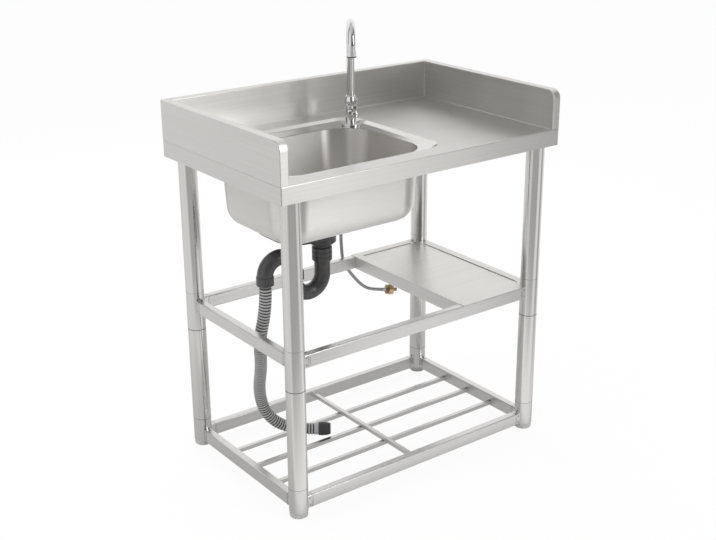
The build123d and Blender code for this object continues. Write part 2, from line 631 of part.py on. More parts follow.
def make_drain_body():
    """Moulded outlet body: funnel, chamber with a three-armed hub, and spigot."""
    neck_radius = CUP_BOTTOM_RADIUS + FUNNEL_GAP + FUNNEL_WALL
    chamber_radius = neck_radius - CHAMBER_STEP
    chamber_bore = chamber_radius - FUNNEL_WALL
    spigot_bore = SPIGOT_RADIUS - PIPE_WALL
    profile = [
        (DRAIN_HOLE_RADIUS + FUNNEL_WALL, 0),
        (DRAIN_HOLE_RADIUS + FUNNEL_WALL, -FUNNEL_RIM_HEIGHT),
        (neck_radius, -NECK_DEPTH),
        (chamber_radius, -CHAMBER_TOP_DEPTH),
        (chamber_radius, -CHAMBER_DEPTH),
        (SHOULDER_RADIUS, -SHOULDER_DEPTH),
        (SPIGOT_RADIUS, -SHOULDER_DEPTH),
        (SPIGOT_RADIUS, SPIGOT_BOTTOM - GASKET_BOTTOM),
        (spigot_bore, SPIGOT_BOTTOM - GASKET_BOTTOM),
        (spigot_bore, FUNNEL_WALL - SHOULDER_DEPTH),
        (chamber_bore, -CHAMBER_DEPTH),
        (chamber_bore, -CHAMBER_TOP_DEPTH),
        (DRAIN_HOLE_RADIUS, -FUNNEL_RIM_HEIGHT),
        (DRAIN_HOLE_RADIUS, 0),
    ]
    with BuildPart() as drain_body:
        add(turned(BOWL_X, BOWL_Y, GASKET_BOTTOM, profile).part)
        with BuildSketch(level(HUB_BOTTOM, BOWL_X, BOWL_Y)):
            Circle(HUB_RADIUS)
            arm_length = chamber_bore + FUNNEL_WALL / 2
            with PolarLocations(arm_length / 2, HUB_ARMS):
                Rectangle(arm_length, HUB_ARM_WIDTH)
            Circle(SCREW_RADIUS + RUNNING_CLEARANCE, mode=Mode.SUBTRACT)
        extrude(amount=HUB_HEIGHT)
    save(drain_body, "drain_body")


def make_pipe_nut(label, x, joint, upper_radius, bottom, top):
    """Union nut over the joint of two pipes, two grooves round its grip; its ends are rises."""
    radius = upper_radius + NUT_WALL
    lower_bore = PIPE_RADIUS + NUT_CLEARANCE
    upper_bore = upper_radius + NUT_CLEARANCE
    outside = [(radius - NUT_CHAMFER, bottom), (radius, bottom + NUT_CHAMFER)]
    for share in (1 / 3, 2 / 3):
        groove = bottom + share * (top - bottom) - NUT_GROOVE_WIDTH / 2
        outside += [
            (radius, groove),
            (radius - NUT_GROOVE_DEPTH, groove),
            (radius - NUT_GROOVE_DEPTH, groove + NUT_GROOVE_WIDTH),
            (radius, groove + NUT_GROOVE_WIDTH),
        ]
    outside += [(radius, top - NUT_CHAMFER), (radius - NUT_CHAMFER, top)]
    if upper_radius > PIPE_RADIUS:
        step = -PIPE_GAP / 2
        inside = [(upper_bore, top), (upper_bore, step), (lower_bore, step), (lower_bore, bottom)]
    else:
        inside = [(lower_bore, top), (lower_bore, bottom)]
    save(turned(x, BOWL_Y, joint, outside + inside), label)


def swept_pipe(start, down, arc_middle, arc_end, finish):
    """A pipe that runs straight, turns half round and runs straight again."""
    with BuildPart() as pipe:
        with BuildLine():
            Line(start, down)
            ThreePointArc(down, arc_middle, arc_end)
            Line(arc_end, finish)
        with BuildSketch(Plane(origin=start, z_dir=Vector(down) - Vector(start))):
            Circle(PIPE_RADIUS)
            Circle(PIPE_RADIUS - PIPE_WALL, mode=Mode.SUBTRACT)
        sweep()
    return pipe


def make_trap_u_bend():
    """Lower bend that holds the water seal."""
    u_bend = swept_pipe(
        (BOWL_X, BOWL_Y, TRAP_INLET),
        (BOWL_X, BOWL_Y, TRAP_LOW),
        (BOWL_X - TRAP_BEND_RADIUS, BOWL_Y, TRAP_LOW - TRAP_BEND_RADIUS),
        (TRAP_RISER_X, BOWL_Y, TRAP_LOW),
        (TRAP_RISER_X, BOWL_Y, TRAP_JOINT),
    )
    save(u_bend, "trap_u_bend")


def make_trap_return_bend():
    """Upper bend that turns down again, with a thick collar for the hose."""
    with BuildPart() as return_bend:
        bend = swept_pipe(
            (TRAP_RISER_X, BOWL_Y, RETURN_START),
            (TRAP_RISER_X, BOWL_Y, RETURN_LEVEL),
            (TRAP_RISER_X - TRAP_BEND_RADIUS, BOWL_Y, RETURN_LEVEL + TRAP_BEND_RADIUS),
            (RETURN_X, BOWL_Y, RETURN_LEVEL),
            (RETURN_X, BOWL_Y, RETURN_OUTLET),
        )
        add(bend.part)
        with BuildSketch(level(RETURN_OUTLET, RETURN_X, BOWL_Y)):
            Circle(PIPE_RADIUS + COLLAR_WALL)
            Circle(PIPE_RADIUS - PIPE_WALL / 2, mode=Mode.SUBTRACT)
        extrude(amount=COLLAR_HEIGHT)
    save(return_bend, "trap_return_bend")


def steady_plane(wire, distance):
    """Plane square to a wire at a distance along it, its X axis never spinning."""
    tangent = wire.tangent_at(distance, position_mode=PositionMode.LENGTH)
    steady = Vector(0, 1, 1)
    x_axis = steady - tangent * steady.dot(tangent)
    return Plane(wire.position_at(distance, position_mode=PositionMode.LENGTH), x_dir=x_axis, z_dir=tangent)


def make_drain_hose():
    """Ribbed hose from the trap to the rack, and the rubber sleeve on its free end."""
    wire = rounded_route("drain_hose", DRAIN_HOSE_ROUTE)
    length = wire.length
    ribs = round(length / HOSE_PITCH)
    rib_length = length / ribs
    rib_shape = [
        (0, HOSE_VALLEY_RADIUS),
        (HOSE_VALLEY_END, HOSE_VALLEY_RADIUS),
        (HOSE_CREST_START, HOSE_CREST_RADIUS),
        (HOSE_CREST_END, HOSE_CREST_RADIUS),
    ]
    stations = [((rib + share) * rib_length, radius) for rib in range(ribs) for share, radius in rib_shape]
    stations.append((length, HOSE_VALLEY_RADIUS))
    rings = []
    for distance, radius in stations:
        with BuildSketch(steady_plane(wire, distance)) as ring:
            Circle(radius)
        rings.append(ring.sketch)
    with BuildPart() as drain_hose:
        loft(rings, ruled=True)
        with BuildSketch(steady_plane(wire, 0)):
            Circle(HOSE_BORE_RADIUS)
        sweep(path=wire, mode=Mode.SUBTRACT)
    solid_volume = 0
    for (near, near_radius), (far, far_radius) in zip(stations, stations[1:]):
        mean_square = (near_radius**2 + near_radius * far_radius + far_radius**2) / 3
        solid_volume += pi * mean_square * (far - near)
    print("drain_hose ribs", ribs)
    report_volume("drain_hose", drain_hose, solid_volume / length - pi * HOSE_BORE_RADIUS**2, length)
    save(drain_hose, "drain_hose")

    end = steady_plane(wire, length)
    mouth_radius = HOSE_CREST_RADIUS + HOSE_END_OVERHANG
    with BuildPart() as hose_end:
        with BuildSketch(end):
            Circle(mouth_radius - HOSE_END_TAPER)
        with BuildSketch(end.offset(HOSE_END_LENGTH)):
            Circle(mouth_radius)
        loft()
        fillet(hose_end.edges().filter_by(GeomType.CIRCLE), HOSE_END_EDGE)
        with BuildSketch(end):
            Circle(HOSE_BORE_RADIUS)
        extrude(amount=HOSE_END_LENGTH, mode=Mode.SUBTRACT)
        with BuildSketch(end.offset(HOSE_END_LENGTH - HOSE_END_SOCKET_DEPTH)):
            Circle(HOSE_END_SOCKET_RADIUS)
        extrude(amount=HOSE_END_SOCKET_DEPTH, mode=Mode.SUBTRACT)
    save(hose_end, "hose_end")


# ==== Tap ======================================================================================


def lever_plane(distance):
    """Plane square to the lever's axis, its Y upwards, at a distance from the tap's axis."""
    spot = Vector(TAP_X, TAP_Y, LEVER_LEVEL) + LEVER_DIRECTION * distance
    return Plane(origin=spot, x_dir=LEVER_SIDEWAYS, z_dir=LEVER_DIRECTION)


def make_faucet_flange():
    """Round cover over the tap hole."""
    with BuildPart() as faucet_flange:
        with BuildSketch(level(RECESS_FLOOR, TAP_X, TAP_Y)):
            Circle(TAP_FLANGE_RADIUS)
        extrude(amount=TAP_FLANGE_HEIGHT)
        fillet(faucet_flange.faces().sort_by(Axis.Z)[-1].edges(), TAP_FLANGE_EDGE)
        with BuildSketch(level(RECESS_FLOOR, TAP_X, TAP_Y)):
            Circle(SHANK_RADIUS + SHANK_CLEARANCE)
        extrude(amount=TAP_FLANGE_HEIGHT, mode=Mode.SUBTRACT)
    save(faucet_flange, "faucet_flange")


def make_faucet_body():
    """Waisted body with the bonnet of the valve, the waterway and the spout's socket."""
    with BuildPart() as faucet_body:
        with BuildSketch(Plane(origin=(TAP_X, TAP_Y, TAP_BASE), x_dir=(1, 0, 0), z_dir=(0, -1, 0))):
            contour = [(SPOUT_RADIUS + wall, share * TAP_BODY_HEIGHT) for wall, share in TAP_BODY_CONTOUR]
            with BuildLine():
                Spline(*contour)
                Polyline(contour[-1], (0, TAP_BODY_HEIGHT), (0, 0), contour[0])
            make_face()
        revolve(axis=Axis((TAP_X, TAP_Y, TAP_BASE), (0, 0, 1)))
        with BuildSketch(lever_plane(0)):
            Circle(BONNET_RADIUS)
        extrude(amount=BONNET_REACH)
        with BuildSketch(lever_plane(-CARTRIDGE_BACK - RUNNING_CLEARANCE)):
            Circle(CARTRIDGE_RADIUS + RUNNING_CLEARANCE)
        extrude(amount=CARTRIDGE_BACK + RUNNING_CLEARANCE + BONNET_REACH, mode=Mode.SUBTRACT)
        with BuildSketch(level(TAP_BASE, TAP_X, TAP_Y)):
            Circle(WATERWAY_RADIUS)
        extrude(amount=TAP_BODY_HEIGHT, mode=Mode.SUBTRACT)
        with BuildSketch(level(TAP_BASE + TAP_BODY_HEIGHT - SPOUT_SOCKET_DEPTH, TAP_X, TAP_Y)):
            Circle(SPOUT_RADIUS + RUNNING_CLEARANCE)
        extrude(amount=SPOUT_SOCKET_DEPTH, mode=Mode.SUBTRACT)
    save(faucet_body, "faucet_body")


def make_faucet_spout():
    """Swan-neck tube that turns in its socket."""
    bottom = TAP_BASE + TAP_BODY_HEIGHT - SPOUT_SOCKET_DEPTH + SPOUT_END_GAP
    bend_level = TAP_BASE + SPOUT_COLUMN_TOP
    column_top = Vector(TAP_X, TAP_Y, bend_level)
    apex = column_top + SPOUT_DIRECTION * SPOUT_BEND_RADIUS + Vector(0, 0, SPOUT_BEND_RADIUS)
    far = column_top + SPOUT_DIRECTION * 2 * SPOUT_BEND_RADIUS
    with BuildPart() as faucet_spout:
        with BuildLine():
            Line((TAP_X, TAP_Y, bottom), column_top)
            ThreePointArc(column_top, apex, far)
            Line(far, far - Vector(0, 0, SPOUT_TIP_DROP))
        with BuildSketch(level(bottom, TAP_X, TAP_Y)):
            Circle(SPOUT_RADIUS)
            Circle(SPOUT_RADIUS - SPOUT_WALL, mode=Mode.SUBTRACT)
        sweep()
    save(faucet_spout, "faucet_spout")

    tip = far - Vector(0, 0, SPOUT_TIP_DROP)
    sleeve_bore = SPOUT_RADIUS + RUNNING_CLEARANCE
    radius = sleeve_bore + AERATOR_WALL
    outlet = AERATOR_SLEEVE - AERATOR_HEIGHT
    profile = [
        (AERATOR_OUTLET_RADIUS, outlet),
        (radius - AERATOR_EDGE, outlet),
        (radius, outlet + AERATOR_EDGE),
        (radius, AERATOR_SLEEVE),
        (sleeve_bore, AERATOR_SLEEVE),
        (sleeve_bore, 0),
        (AERATOR_OUTLET_RADIUS, 0),
    ]
    save(turned(tip.X, tip.Y, tip.Z, profile), "spout_aerator")


def make_faucet_lever():
    """Quarter-turn lever: a round hub on the spindle and an upright blade."""
    hub_middle = BONNET_REACH + LEVER_GAP + LEVER_HUB_LENGTH / 2
    root = Vector(TAP_X, TAP_Y, LEVER_LEVEL + LEVER_ROOT) + LEVER_DIRECTION * hub_middle
    tip = Vector(TAP_X, TAP_Y, LEVER_LEVEL + LEVER_LENGTH) + LEVER_DIRECTION * hub_middle
    tip = tip + LEVER_SIDEWAYS * LEVER_LEAN
    with BuildPart() as faucet_lever:
        with BuildSketch(Plane(origin=root, x_dir=LEVER_SIDEWAYS, z_dir=(0, 0, 1))):
            Rectangle(LEVER_ROOT_WIDTH, LEVER_ROOT_THICKNESS)
        with BuildSketch(Plane(origin=tip, x_dir=LEVER_SIDEWAYS, z_dir=(0, 0, 1))):
            Rectangle(LEVER_TIP_WIDTH, LEVER_TIP_THICKNESS)
        loft()
        fillet(faucet_lever.edges().group_by(Axis.Z)[1:], LEVER_EDGE)
        with BuildSketch(lever_plane(BONNET_REACH + LEVER_GAP)):
            Circle(LEVER_HUB_RADIUS)
        extrude(amount=LEVER_HUB_LENGTH)
        front = faucet_lever.edges().filter_by(GeomType.CIRCLE).sort_by(lever_distance)[-1]
        fillet(front, LEVER_HUB_EDGE)
        with BuildSketch(lever_plane(BONNET_REACH + LEVER_GAP)):
            Circle(SPINDLE_RADIUS + RUNNING_CLEARANCE)
        extrude(amount=SPINDLE_LENGTH, mode=Mode.SUBTRACT)
    save(faucet_lever, "faucet_lever")


def lever_distance(edge):
    """How far out along the lever's axis an edge lies."""
    return edge.center().dot(LEVER_DIRECTION)


def make_valve_cartridge():
    """Brass valve inside the body, with the spindle that carries the lever."""
    with BuildPart() as valve_cartridge:
        with BuildSketch(lever_plane(-CARTRIDGE_BACK)):
            Circle(CARTRIDGE_RADIUS)
        extrude(amount=CARTRIDGE_BACK + BONNET_REACH)
        with BuildSketch(lever_plane(BONNET_REACH)):
            Circle(SPINDLE_RADIUS)
        extrude(amount=SPINDLE_LENGTH)
    save(valve_cartridge, "valve_cartridge")


def make_faucet_fixings():
    """Threaded shank, rubber washer and nut that clamp the tap to the worktop."""
    shank = ring_profile(WATERWAY_RADIUS, SHANK_RADIUS, SHANK_LENGTH)
    save(turned(TAP_X, TAP_Y, SHANK_BOTTOM, shank), "faucet_shank")

    bore = SHANK_RADIUS + SHANK_CLEARANCE
    washer = ring_profile(bore, TAP_WASHER_RADIUS, TAP_WASHER_THICKNESS)
    washer_bottom = RECESS_UNDERSIDE - TAP_WASHER_THICKNESS
    save(turned(TAP_X, TAP_Y, washer_bottom, washer), "faucet_washer")

    with BuildPart() as faucet_nut:
        with BuildSketch(level(washer_bottom - TAP_NUT_HEIGHT, TAP_X, TAP_Y)):
            RegularPolygon(TAP_NUT_RADIUS, 6)
            Circle(bore, mode=Mode.SUBTRACT)
        extrude(amount=TAP_NUT_HEIGHT)
    save(faucet_nut, "faucet_nut")


def make_supply_line():
    """Braided hose with its top fitting, and the union nut and tail on its free end."""
    with BuildPart() as supply_top_fitting:
        with BuildSketch(level(SUPPLY_START, TAP_X, TAP_Y)):
            Circle(SUPPLY_RADIUS + SUPPLY_CRIMP_WALL)
        extrude(amount=SUPPLY_CRIMP_HEIGHT)
        with BuildSketch(level(SUPPLY_START + SUPPLY_CRIMP_HEIGHT, TAP_X, TAP_Y)):
            RegularPolygon(SUPPLY_HEX_RADIUS, 6)
        extrude(amount=SUPPLY_HEX_HEIGHT)
        with BuildSketch(level(SHANK_BOTTOM, TAP_X, TAP_Y)):
            Circle(WATERWAY_RADIUS - NUT_CLEARANCE)
        extrude(amount=SUPPLY_STEM_LENGTH)
        with BuildSketch(level(SUPPLY_START, TAP_X, TAP_Y)):
            Circle(SUPPLY_BORE_RADIUS)
        through = SUPPLY_CRIMP_HEIGHT + SUPPLY_HEX_HEIGHT + SUPPLY_STEM_LENGTH
        extrude(amount=through, mode=Mode.SUBTRACT)
    save(supply_top_fitting, "supply_top_fitting")

    wire = rounded_route("supply_hose", SUPPLY_HOSE_ROUTE)
    with BuildPart() as supply_hose:
        with BuildSketch(Plane(origin=SUPPLY_HOSE_ROUTE[0], z_dir=(0, 0, -1))):
            Circle(SUPPLY_RADIUS)
            Circle(SUPPLY_BORE_RADIUS, mode=Mode.SUBTRACT)
        sweep(path=wire)
    report_volume("supply_hose", supply_hose, pi * (SUPPLY_RADIUS**2 - SUPPLY_BORE_RADIUS**2), wire.length)
    save(supply_hose, "supply_hose")

    end = steady_plane(wire, wire.length)
    with BuildPart() as supply_tail:
        with BuildSketch(end):
            Circle(SUPPLY_COLLAR_RADIUS)
        extrude(amount=SUPPLY_COLLAR_LENGTH)
        nut_end = SUPPLY_COLLAR_LENGTH + SUPPLY_NUT_LENGTH
        with BuildSketch(end):
            Circle(SUPPLY_TAIL_RADIUS)
        extrude(amount=nut_end)
        with BuildSketch(end.offset(nut_end)):
            Circle(SUPPLY_BARB_RADIUS)
        extrude(amount=SUPPLY_BARB_LENGTH)
        with BuildSketch(end):
            Circle(SUPPLY_BORE_RADIUS)
        extrude(amount=nut_end + SUPPLY_BARB_LENGTH, mode=Mode.SUBTRACT)
    save(supply_tail, "supply_tail")

    seat = end.offset(SUPPLY_COLLAR_LENGTH)
    with BuildPart() as supply_nut:
        with BuildSketch(seat):
            RegularPolygon(SUPPLY_NUT_RADIUS, 6)
            Circle(SUPPLY_TAIL_RADIUS + NUT_CLEARANCE, mode=Mode.SUBTRACT)
        extrude(amount=SUPPLY_NUT_LENGTH)
        with BuildSketch(seat.offset(SUPPLY_NUT_SEAT)):
            Circle(SUPPLY_NUT_THREAD_RADIUS)
        extrude(amount=SUPPLY_NUT_LENGTH - SUPPLY_NUT_SEAT, mode=Mode.SUBTRACT)
    save(supply_nut, "supply_nut")


# ==== Frame ====================================================================================


def make_tube(label, x, y, bottom, top):
    """Round leg tube between two levels."""
    save(turned(x, y, bottom, ring_profile(LEG_BORE, LEG_RADIUS, top - bottom)), label)


def make_leg_joint(label, x, y, bottom, top, rail_bottom, lowest):
    """Cast joint: a round body with a spigot for each tube and a plug for each of two rails."""
    inward_x = -1 if x > 0 else 1
    inward_y = -1 if y > 0 else 1
    rail_middle = rail_bottom + RAIL_HEIGHT / 2
    bore = LEG_BORE - JOINT_FIT - JOINT_WALL
    with BuildPart() as joint:
        with BuildSketch(level(bottom, x, y)):
            Circle(LEG_RADIUS)
        extrude(amount=top - bottom)
        spigot_bottom = bottom if lowest else bottom - JOINT_SPIGOT
        with BuildSketch(level(spigot_bottom, x, y)):
            Circle(LEG_BORE - JOINT_FIT)
        extrude(amount=top + JOINT_SPIGOT - spigot_bottom)
        for sideways, outward in (((0, 1, 0), (inward_x, 0, 0)), ((1, 0, 0), (0, inward_y, 0))):
            arm = Plane(origin=(x, y, rail_middle), x_dir=sideways, z_dir=outward)
            with BuildSketch(arm):
                RectangleRounded(RAIL_THICKNESS, RAIL_HEIGHT, RAIL_CORNER)
            extrude(amount=ARM_END)
            with BuildSketch(arm.offset(ARM_END)):
                trim = 2 * (RAIL_WALL + JOINT_FIT)
                plug_corner = RAIL_CORNER - RAIL_WALL - JOINT_FIT
                RectangleRounded(RAIL_THICKNESS - trim, RAIL_HEIGHT - trim, plug_corner)
            extrude(amount=PLUG_LENGTH)
        bore_bottom = bottom + JOINT_FLOOR if lowest else spigot_bottom
        with BuildSketch(level(bore_bottom, x, y)):
            Circle(bore)
        extrude(amount=top + JOINT_SPIGOT - bore_bottom, mode=Mode.SUBTRACT)
        if lowest:
            with BuildSketch(level(bottom, x, y)):
                Circle(FOOT_STEM_RADIUS + RUNNING_CLEARANCE)
            extrude(amount=JOINT_FLOOR, mode=Mode.SUBTRACT)
    save(joint, label)


def make_foot(label, x, y):
    """Levelling foot: a round pad with a threaded stem."""
    with BuildPart() as foot:
        with BuildSketch(level(0, x, y)):
            Circle(LEG_RADIUS - FOOT_INSET)
        extrude(amount=FOOT_HEIGHT)
        fillet(foot.faces().sort_by(Axis.Z)[0].edges(), FOOT_EDGE)
        with BuildSketch(level(FOOT_HEIGHT, x, y)):
            Circle(FOOT_STEM_RADIUS)
        extrude(amount=FOOT_STEM_LENGTH)
    save(foot, label)


def make_legs():
    """Four legs, each of two tubes, two joints and a foot."""
    for end_name, y in (("front", -LEG_Y), ("back", LEG_Y)):
        for side_name, x in (("left", -LEG_X), ("right", LEG_X)):
            leg = f"leg_{end_name}_{side_name}"
            make_tube(f"{leg}_upper_tube", x, y, MIDDLE_JOINT_TOP, LEG_TOP)
            make_leg_joint(
                f"{leg}_middle_joint", x, y, MIDDLE_JOINT_BOTTOM, MIDDLE_JOINT_TOP, MID_RAIL_BOTTOM, False
            )
            make_tube(f"{leg}_lower_tube", x, y, BOTTOM_JOINT_TOP, MIDDLE_JOINT_BOTTOM)
            make_leg_joint(
                f"{leg}_bottom_joint", x, y, LOWER_RAIL_BOTTOM, BOTTOM_JOINT_TOP, LOWER_RAIL_BOTTOM, True
            )
            make_foot(f"{leg}_foot", x, y)


def rack_bar_places():
    """The rack's bars, as places along Y."""
    first = RACK_MIDDLE - RACK_PITCH * (RACK_BARS - 1) / 2
    return [first + RACK_PITCH * count for count in range(RACK_BARS)]


def make_rail(label, x, y, rail_bottom, holes_towards=0):
    """Rounded rectangular tube between two legs; a side rail can take the rack's bar ends."""
    along_x = x == 0
    leg_distance = LEG_X if along_x else LEG_Y
    half = leg_distance - ARM_END
    middle = rail_bottom + RAIL_HEIGHT / 2
    if along_x:
        start = Plane(origin=(-half, y, middle), x_dir=(0, 1, 0), z_dir=(1, 0, 0))
    else:
        start = Plane(origin=(x, -half, middle), x_dir=(1, 0, 0), z_dir=(0, 1, 0))
    with BuildPart() as rail:
        with BuildSketch(start):
            RectangleRounded(RAIL_THICKNESS, RAIL_HEIGHT, RAIL_CORNER)
            inner = 2 * RAIL_WALL
            RectangleRounded(
                RAIL_THICKNESS - inner, RAIL_HEIGHT - inner, RAIL_CORNER - RAIL_WALL, mode=Mode.SUBTRACT
            )
        extrude(amount=2 * half)
        if holes_towards:
            inner_face = x + holes_towards * RAIL_THICKNESS / 2
            bar_middle = RACK_BOTTOM + RACK_BAR / 2
            with BuildSketch(Plane(origin=(inner_face, 0, bar_middle), x_dir=(0, 1, 0), z_dir=(1, 0, 0))):
                with Locations(*[(place, 0) for place in rack_bar_places()]):
                    Rectangle(RACK_BAR + 2 * RACK_BAR_CLEARANCE, RACK_BAR + 2 * RACK_BAR_CLEARANCE)
            extrude(amount=-holes_towards * 2 * RAIL_WALL, mode=Mode.SUBTRACT)
    save(rail, label)


def make_rails():
    """Four rails at shelf height and four near the floor."""
    for name, x, y, inward in (
        ("front", 0, -LEG_Y, 0),
        ("back", 0, LEG_Y, 0),
        ("left", -LEG_X, 0, 1),
        ("right", LEG_X, 0, -1),
    ):
        make_rail(f"mid_rail_{name}", x, y, MID_RAIL_BOTTOM)
        make_rail(f"lower_rail_{name}", x, y, LOWER_RAIL_BOTTOM, holes_towards=inward)


def make_shelf():
    """Pressed shelf over the right half of the upper rails, its left edge folded down."""
    right = LEG_X + RAIL_THICKNESS / 2
    left = right - SHELF_LENGTH
    half_depth = LEG_Y + RAIL_THICKNESS / 2
    press_left = left + SHELF_LEFT_MARGIN
    press_right = right - RAIL_THICKNESS - SHELF_PRESS_MARGIN
    press_half = half_depth - RAIL_THICKNESS - SHELF_PRESS_MARGIN
    press_length = press_right - press_left
    press_x = (press_left + press_right) / 2
    sheet_top = MID_RAIL_TOP + SHELF_SHEET
    with BuildPart() as shelf:
        with BuildSketch(level(MID_RAIL_TOP)) as plate:
            with Locations(((left + right) / 2, 0)):
                Rectangle(SHELF_LENGTH, 2 * half_depth)
            with Locations((LEG_X, LEG_Y), (LEG_X, -LEG_Y)):
                Circle(LEG_RADIUS + SHELF_LEG_CLEARANCE, mode=Mode.SUBTRACT)
        extrude(amount=SHELF_SHEET)
        # the pressed field: its sheet, then its hollow
        for bottom, height, inset, mode in (
            (MID_RAIL_TOP - SHELF_PRESS_DEPTH, SHELF_PRESS_DEPTH + SHELF_SHEET, 0, Mode.ADD),
            (sheet_top - SHELF_PRESS_DEPTH, SHELF_PRESS_DEPTH, SHELF_SHEET, Mode.SUBTRACT),
        ):
            with BuildSketch(level(bottom, press_x, 0)) as field:
                Rectangle(press_length - 2 * inset, 2 * (press_half - inset))
                fillet(field.vertices().group_by(Axis.X)[-1], SHELF_PRESS_CORNER - inset)
                fillet(field.vertices().group_by(Axis.X)[0], SHELF_PRESS_LEFT_CORNER - inset)
            extrude(amount=height, mode=mode)
        # the left edge folded down between the rails, with a lip under it
        fold_half = half_depth - RAIL_THICKNESS - SHELF_LEG_CLEARANCE
        fold_bottom = sheet_top - SHELF_FOLD
        with BuildSketch(level(fold_bottom, left)):
            Rectangle(SHELF_SHEET, 2 * fold_half, align=(Align.MIN, Align.CENTER))
        extrude(amount=SHELF_FOLD)
        with BuildSketch(level(fold_bottom, left)):
            Rectangle(SHELF_LIP, 2 * fold_half, align=(Align.MIN, Align.CENTER))
        extrude(amount=SHELF_SHEET)
    save(shelf, "shelf")


def make_lower_rack():
    """Square bars between the lower side rails, welded under one cross bar."""
    bar_half = LEG_X
    cross_half = LEG_Y - RAIL_THICKNESS / 2
    with BuildPart() as lower_rack:
        with BuildSketch(level(RACK_BOTTOM)):
            with Locations(*[(0, place) for place in rack_bar_places()]):
                Rectangle(2 * bar_half, RACK_BAR)
        extrude(amount=RACK_BAR)
        with BuildSketch(level(RACK_TOP, RACK_CROSS_X, 0)):
            Rectangle(RACK_BAR, 2 * cross_half)
        extrude(amount=RACK_BAR)
    save(lower_rack, "lower_rack")


os.makedirs("parts", exist_ok=True)
make_worktop()
make_side_splash("left_splash", -TABLE_WIDTH / 2)
make_side_splash("right_splash", TABLE_WIDTH / 2 - SPLASH_THICKNESS)
make_back_splash()
make_sink_bowl()
make_sound_pad()
make_drain_flange()
make_strainer_basket()
make_drain_gasket()
make_drain_screw()
make_drain_body()
make_pipe_nut("coupling_nut", BOWL_X, SPIGOT_BOTTOM, SPIGOT_RADIUS, -COUPLING_NUT_DROP, COUPLING_NUT_RISE)
make_trap_u_bend()
make_pipe_nut("trap_nut", TRAP_RISER_X, TRAP_JOINT, PIPE_RADIUS, RISER_NUT_BOTTOM, RISER_NUT_TOP)
make_trap_return_bend()
make_drain_hose()
make_faucet_flange()
make_faucet_body()
make_faucet_spout()
make_faucet_lever()
make_valve_cartridge()
make_faucet_fixings()
make_supply_line()
make_legs()
make_rails()
make_shelf()
make_lower_rack()
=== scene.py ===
"""Finishes, cords and small details of a free-standing kitchen sink unit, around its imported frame."""

import math

import bmesh
import bpy
from mathutils import Matrix, Vector


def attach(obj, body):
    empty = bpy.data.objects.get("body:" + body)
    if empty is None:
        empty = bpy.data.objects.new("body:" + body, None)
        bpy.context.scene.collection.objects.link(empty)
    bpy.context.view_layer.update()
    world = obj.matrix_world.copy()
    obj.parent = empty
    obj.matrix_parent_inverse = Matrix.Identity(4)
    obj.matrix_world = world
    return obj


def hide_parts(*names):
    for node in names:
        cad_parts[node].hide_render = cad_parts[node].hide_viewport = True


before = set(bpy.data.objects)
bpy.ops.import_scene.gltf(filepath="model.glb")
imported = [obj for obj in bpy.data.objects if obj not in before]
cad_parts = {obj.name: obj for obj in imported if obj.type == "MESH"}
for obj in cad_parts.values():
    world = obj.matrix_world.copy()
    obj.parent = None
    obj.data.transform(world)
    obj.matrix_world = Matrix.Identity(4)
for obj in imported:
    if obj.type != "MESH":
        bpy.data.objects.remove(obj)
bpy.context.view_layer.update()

# Camera, in metres and degrees
PHOTO_WIDTH = 716  # pixels
FOCAL_LENGTH = 1189.7  # pixels
SENSOR_WIDTH = 36.0  # millimetres
CAMERA_PLACE = (-1.6581, -2.1970, 1.4947)
CAMERA_BEARING = 36.755  # from +Y towards +X
CAMERA_DROP = 20.714
CAMERA_ROLL = -0.398
FRAME_OFFSET = 0.5  # pixels; the measured points count from pixel centres

# Hoses, in metres
DRAIN_HOSE_ROUTE = [
    (-0.311, -0.036, 0.5018),
    (-0.311, -0.036, 0.446),
    (-0.323, -0.020, 0.359),
    (-0.295, 0.020, 0.271),
    (-0.265, 0.088, 0.168),
    (-0.243, 0.092, 0.092),
    (-0.188, 0.070, 0.044),
    (-0.128, 0.027, 0.044),
]
DRAIN_HOSE_RADIUS = 0.015
DRAIN_HOSE_RIB = 0.0018
DRAIN_HOSE_WALL = 0.0035
DRAIN_HOSE_PITCH = 0.0075
DRAIN_HOSE_PLAIN_END = 0.004

SUPPLY_HOSE_ROUTE = [
    (0.04605, 0.11190, 0.722),
    (0.04605, 0.11190, 0.638),
    (0.059, 0.158, 0.567),
    (0.074, 0.199, 0.500),
    (0.095, 0.227, 0.436),
    (0.113, 0.245, 0.378),
    (0.145, 0.243, 0.331),
    (0.178, 0.237, 0.293),
    (0.213, 0.235, 0.278),
    (0.250, 0.230, 0.271),
]
SUPPLY_HOSE_RADIUS = 0.0045
BRAID_HEIGHT = 0.0003
BRAID_PITCH = 0.0072  # one wire band's advance in a full turn, divided by the bands
BRAID_BANDS = 8
BRAID_RINGS = 620  # cross sections along the supply hose
FERRULE_LENGTH = 0.014
FERRULE_RADIUS = 0.0056

# Rubber sleeve on the waste hose, in metres
SLEEVE_LENGTH = 0.031
SLEEVE_ROOT_RADIUS = 0.016
SLEEVE_RADIUS = 0.017  # at its widest
SLEEVE_BORE = 0.0115
SLEEVE_SOCKET = 0.013
SLEEVE_SOCKET_DEPTH = 0.025
SLEEVE_RINGS = (0.004, 0.009)  # middles of its grip rings
SLEEVE_SWELL = 0.012  # length over which it grows from its root

